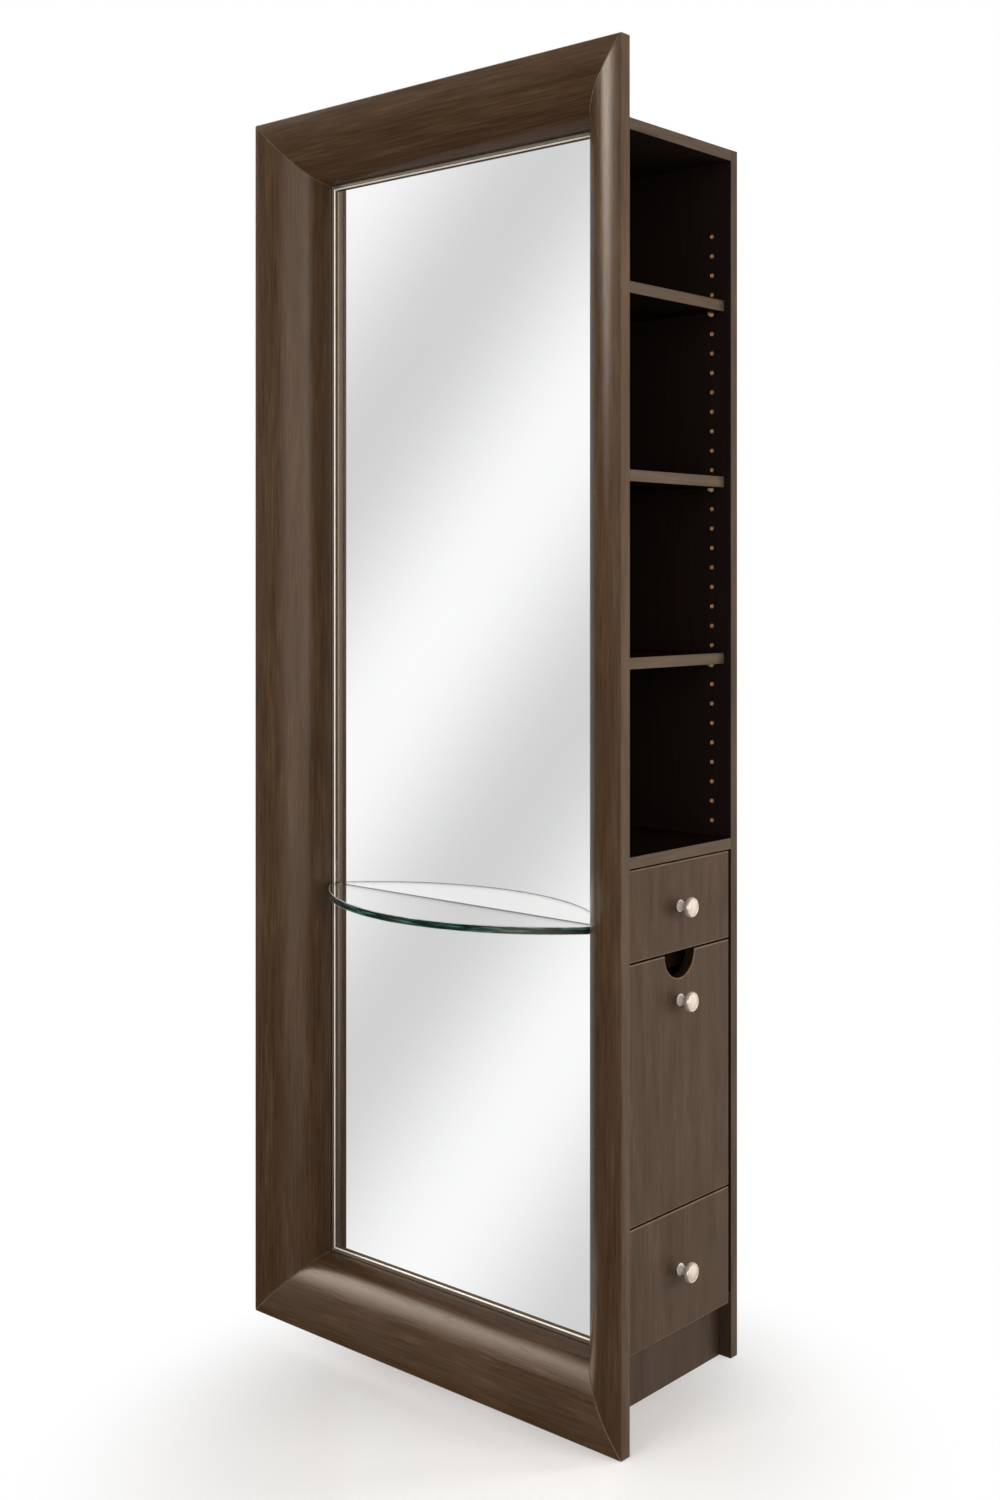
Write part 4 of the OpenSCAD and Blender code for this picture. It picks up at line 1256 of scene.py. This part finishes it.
@dataclass
class Studio:
    """Pale floor, soft lamps, white surroundings and the camera."""

    lens: float = 42.24
    shift: float = -0.1137
    turn: float = 41.31
    eye: Triple = (1.9411, -2.1908, 1.2712)
    fill: float = 0.50
    warm: Colour = (1.0, 0.95, 0.89)
    reflector: Colour = (1.0, 0.87, 0.76)
    dark_walls: float = 0.05
    slant: float = 1.5  # how far across a band of the mirror's view goes for its height
    wave: Triple = (0.0239, 0.345, 0.16)  # the bands' shift, length and height
    wave_level: float = 0.82
    wall_level: float = 0.96  # where there are no bands
    band_edge: Pair = (0.55, 0.85)  # parts of the direction ahead between which the bands set in
    least_ahead: float = 0.3
    echo: float = 0.35  # share of the mirror's surroundings that reaches another surface
    window: tuple[float, float, float, float] = (-0.033, 0.184, 0.10, 0.035)  # where the echo is whole
    window_edge: Pair = (0.9, 1.3)  # in half sizes
    card_edge: Pair = (0.6, 1.4)
    behind: float = 9.0  # what keeps a card from showing on the far side too
    cards: tuple[tuple[float, float, float, float, float], ...] = (
        (-67.0, 27.5, 0.19, 0.33, 7.6),
        (-50.0, 40.0, 0.30, 0.16, 1.5),
        (-44.0, 3.0, 0.20, 0.29, 0.36),
        (-50.0, 12.0, 0.07, 0.09, 0.8),
        (-21.0, 9.0, 0.035, 0.30, 0.9),
        (28.0, 5.0, 0.42, 0.36, 1.6),
        (50.0, 8.0, 0.14, 0.30, 1.4),
        (100.0, 12.0, 0.14, 0.40, 2.6),
        (138.0, -5.0, 0.50, 0.50, 0.65),
    )  # azimuth from the front towards +X, elevation, half width, half height and level
    boxes: tuple[tuple[str, Triple, Triple, float, float, float], ...] = (
        ("key_box", (3.7, 1.25, 1.9), (0.2, 0.0, 1.0), 1.8, 1.8, 60.0),
        ("side_box", (2.45, 2.85, 0.85), (0.33, 0.08, 0.75), 0.9, 0.9, 58.0),
        ("front_box", (0.1, -3.6, 1.75), (0.0, 0.0, 1.2), 2.0, 1.8, 59.0),
        ("bay_box", (2.3, -1.7, 1.35), (0.3, 0.1, 1.2), 0.7, 0.7, 15.0),
    )  # name, place, aim, width, height and watts
    floor_half: float = 40.0

    def camera(self) -> None:
        """Puts the camera at the viewing angle, level, with a vertical shift."""
        data = bpy.data.cameras.new("camera")
        data.lens = self.lens
        data.sensor_width = 36.0
        data.shift_y = self.shift
        data.clip_end = 100.0
        camera = bpy.data.objects.new("camera", data)
        camera.location = self.eye
        camera.rotation_euler = (math.radians(90), 0.0, math.radians(self.turn))
        bpy.context.scene.collection.objects.link(camera)
        bpy.context.scene.camera = camera

    def lamps(self) -> None:
        """Adds the soft boxes, each turned to face its aim."""
        for name, place, aim, width, height, power in self.boxes:
            data = bpy.data.lights.new(name, "AREA")
            data.shape = "RECTANGLE"
            data.size, data.size_y = width, height
            data.energy = power
            data.color = self.warm
            lamp = bpy.data.objects.new(name, data)
            lamp.location = place
            dx, dy, dz = (a - p for a, p in zip(aim, place))
            lamp.rotation_euler = (math.atan2(math.hypot(dx, dy), -dz), 0.0, math.atan2(dy, dx) - math.pi / 2)
            lamp.visible_camera = False
            lamp.visible_glossy = False  # what shines is drawn by the world's cards
            bpy.context.scene.collection.objects.link(lamp)

    def mirror_view(self, world: Surroundings) -> Socket:
        """Works out what a mirror sees.

        The bands are a cosine wave over the direction's part across minus its height, round the direction in
        which the mirror sends the view. A surface that the mirror lights gets only a share of the level,
        except through glass and in the window, where it gets all of it.

        Args:
            world: the world's node tree.

        Returns:
            The level of light from a direction.
        """
        turn = math.radians(self.turn)
        ahead = world.along((-math.sin(turn), -math.cos(turn), 0.0))
        across = world.along((math.cos(turn), -math.sin(turn), 0.0))
        up = world.along(UP)
        shift, length, height = self.wave
        slant = world.math("SUBTRACT", world.math("MULTIPLY", across, self.slant), up)
        slant = world.math("DIVIDE", slant, world.math("MAXIMUM", ahead, self.least_ahead))
        phase = world.math("MULTIPLY", world.math("ADD", slant, shift), 2 * math.pi / length)
        wave = world.math("COSINE", phase)
        banded = world.math("MULTIPLY_ADD", wave, height, self.wave_level)
        near = world.spread(ahead, *self.band_edge)
        level = world.math("MULTIPLY", near, world.math("SUBTRACT", banded, self.wall_level))
        level = world.math("ADD", level, self.wall_level)
        again = world.math("GREATER_THAN", world.path["Glossy Depth"], 1.5)
        later = world.math("MINIMUM", world.math("MAXIMUM", again, world.path["Diffuse Depth"]), 1.0)
        later = world.math("MULTIPLY", later, world.math("LESS_THAN", world.path["Transmission Depth"], 0.5))
        place_across, place_up, half_across, half_up = self.window
        aside = world.offset(across, place_across, half_across)
        outside = world.distance(aside, world.offset(up, place_up, half_up))
        later = world.math("MULTIPLY", later, world.spread(outside, *self.window_edge))
        return world.math("MULTIPLY", level, world.math("MULTIPLY_ADD", later, self.echo - 1.0, 1.0))

    def card_light(self, world: Surroundings) -> Socket:
        """Works out what a rough surface sees: dark walls with soft reflector cards.

        A card's level falls smoothly with the direction's distance from the card, measured in its half sizes.

        Args:
            world: the world's node tree.

        Returns:
            The level of light from a direction.
        """
        total = self.dark_walls
        for azimuth, elevation, half_across, half_up, level in self.cards:
            a, e = math.radians(azimuth), math.radians(elevation)
            aside = world.math("DIVIDE", world.along((math.cos(a), math.sin(a), 0.0)), half_across)
            upward = world.offset(world.along(UP), math.sin(e), half_up)
            facing = world.along((math.sin(a), -math.cos(a), 0.0))
            behind = world.math("MULTIPLY", world.math("LESS_THAN", facing, 0.0), self.behind)
            away = world.math("ADD", world.distance(aside, upward), behind)
            total = world.math("ADD", total, world.spread(away, *self.card_edge, level, 0.0))
        return total

    def surroundings(self) -> None:
        """Paints the world: white to the camera, bands to a mirror, cards to a sheen, and a plain fill."""
        world = Surroundings()
        sharp = world.sky(self.mirror_view(world))
        soft = world.sky(self.card_light(world), self.reflector)
        shine = world.choose(world.path["Is Singular Ray"], soft, sharp)
        light = world.choose(world.path["Is Glossy Ray"], world.sky(self.fill), shine)
        world.link(world.choose(world.seen(), light, world.sky(1.0)), world.output.inputs["Surface"])

    def floor(self) -> None:
        """Lays the pale floor."""
        half = self.floor_half
        corners = np.array([[-half, -half, 0], [half, -half, 0], [half, half, 0], [-half, half, 0]])
        floor = build_mesh("floor", corners, [(0, 1, 2, 3)], [PaleFloor("pale_floor")])
        floor.visible_glossy = False

    def build(self) -> None:
        """Sets up the whole studio."""
        bpy.context.scene.view_settings.view_transform = "Standard"
        self.camera()
        self.lamps()
        self.surroundings()
        self.floor()


def main() -> None:
    """Builds the station's visual pieces in order."""
    logging.basicConfig(level=logging.INFO, format="%(message)s")
    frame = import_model()
    dress_nodes(frame["nodes"])
    MirrorFrame().build()
    GlassShelf().build()
    Cabinet().build()
    Sockets().build()
    Front("top_drawer_face", Body.TOP_DRAWER, "top_drawer_front", 0.6875, 0.8285).build()
    Front("tool_bin_face", Body.TOOL_BIN, "bin_front", 0.2845, 0.6845, 0.040).build()
    Front("bottom_drawer_face", Body.BOTTOM_DRAWER, "bottom_drawer_front", 0.0910, 0.2815).build()
    Knob("top_knob_turned", Body.TOP_DRAWER, "top_drawer_knob", 0.758).build()
    Knob("bin_knob_turned", Body.TOOL_BIN, "bin_knob", 0.610).build()
    Knob("bottom_knob_turned", Body.BOTTOM_DRAWER, "bottom_drawer_knob", 0.18625).build()
    LooseShelf("lower_shelf_board", Body.LOWER_SHELF, "shelf_lower", 1.1335).build()
    LooseShelf("middle_shelf_board", Body.MIDDLE_SHELF, "shelf_middle", 1.4215).build()
    LooseShelf("upper_shelf_board", Body.UPPER_SHELF, "shelf_upper", 1.7095).build()
    Studio().build()


if __name__ == "__main__":
    main()
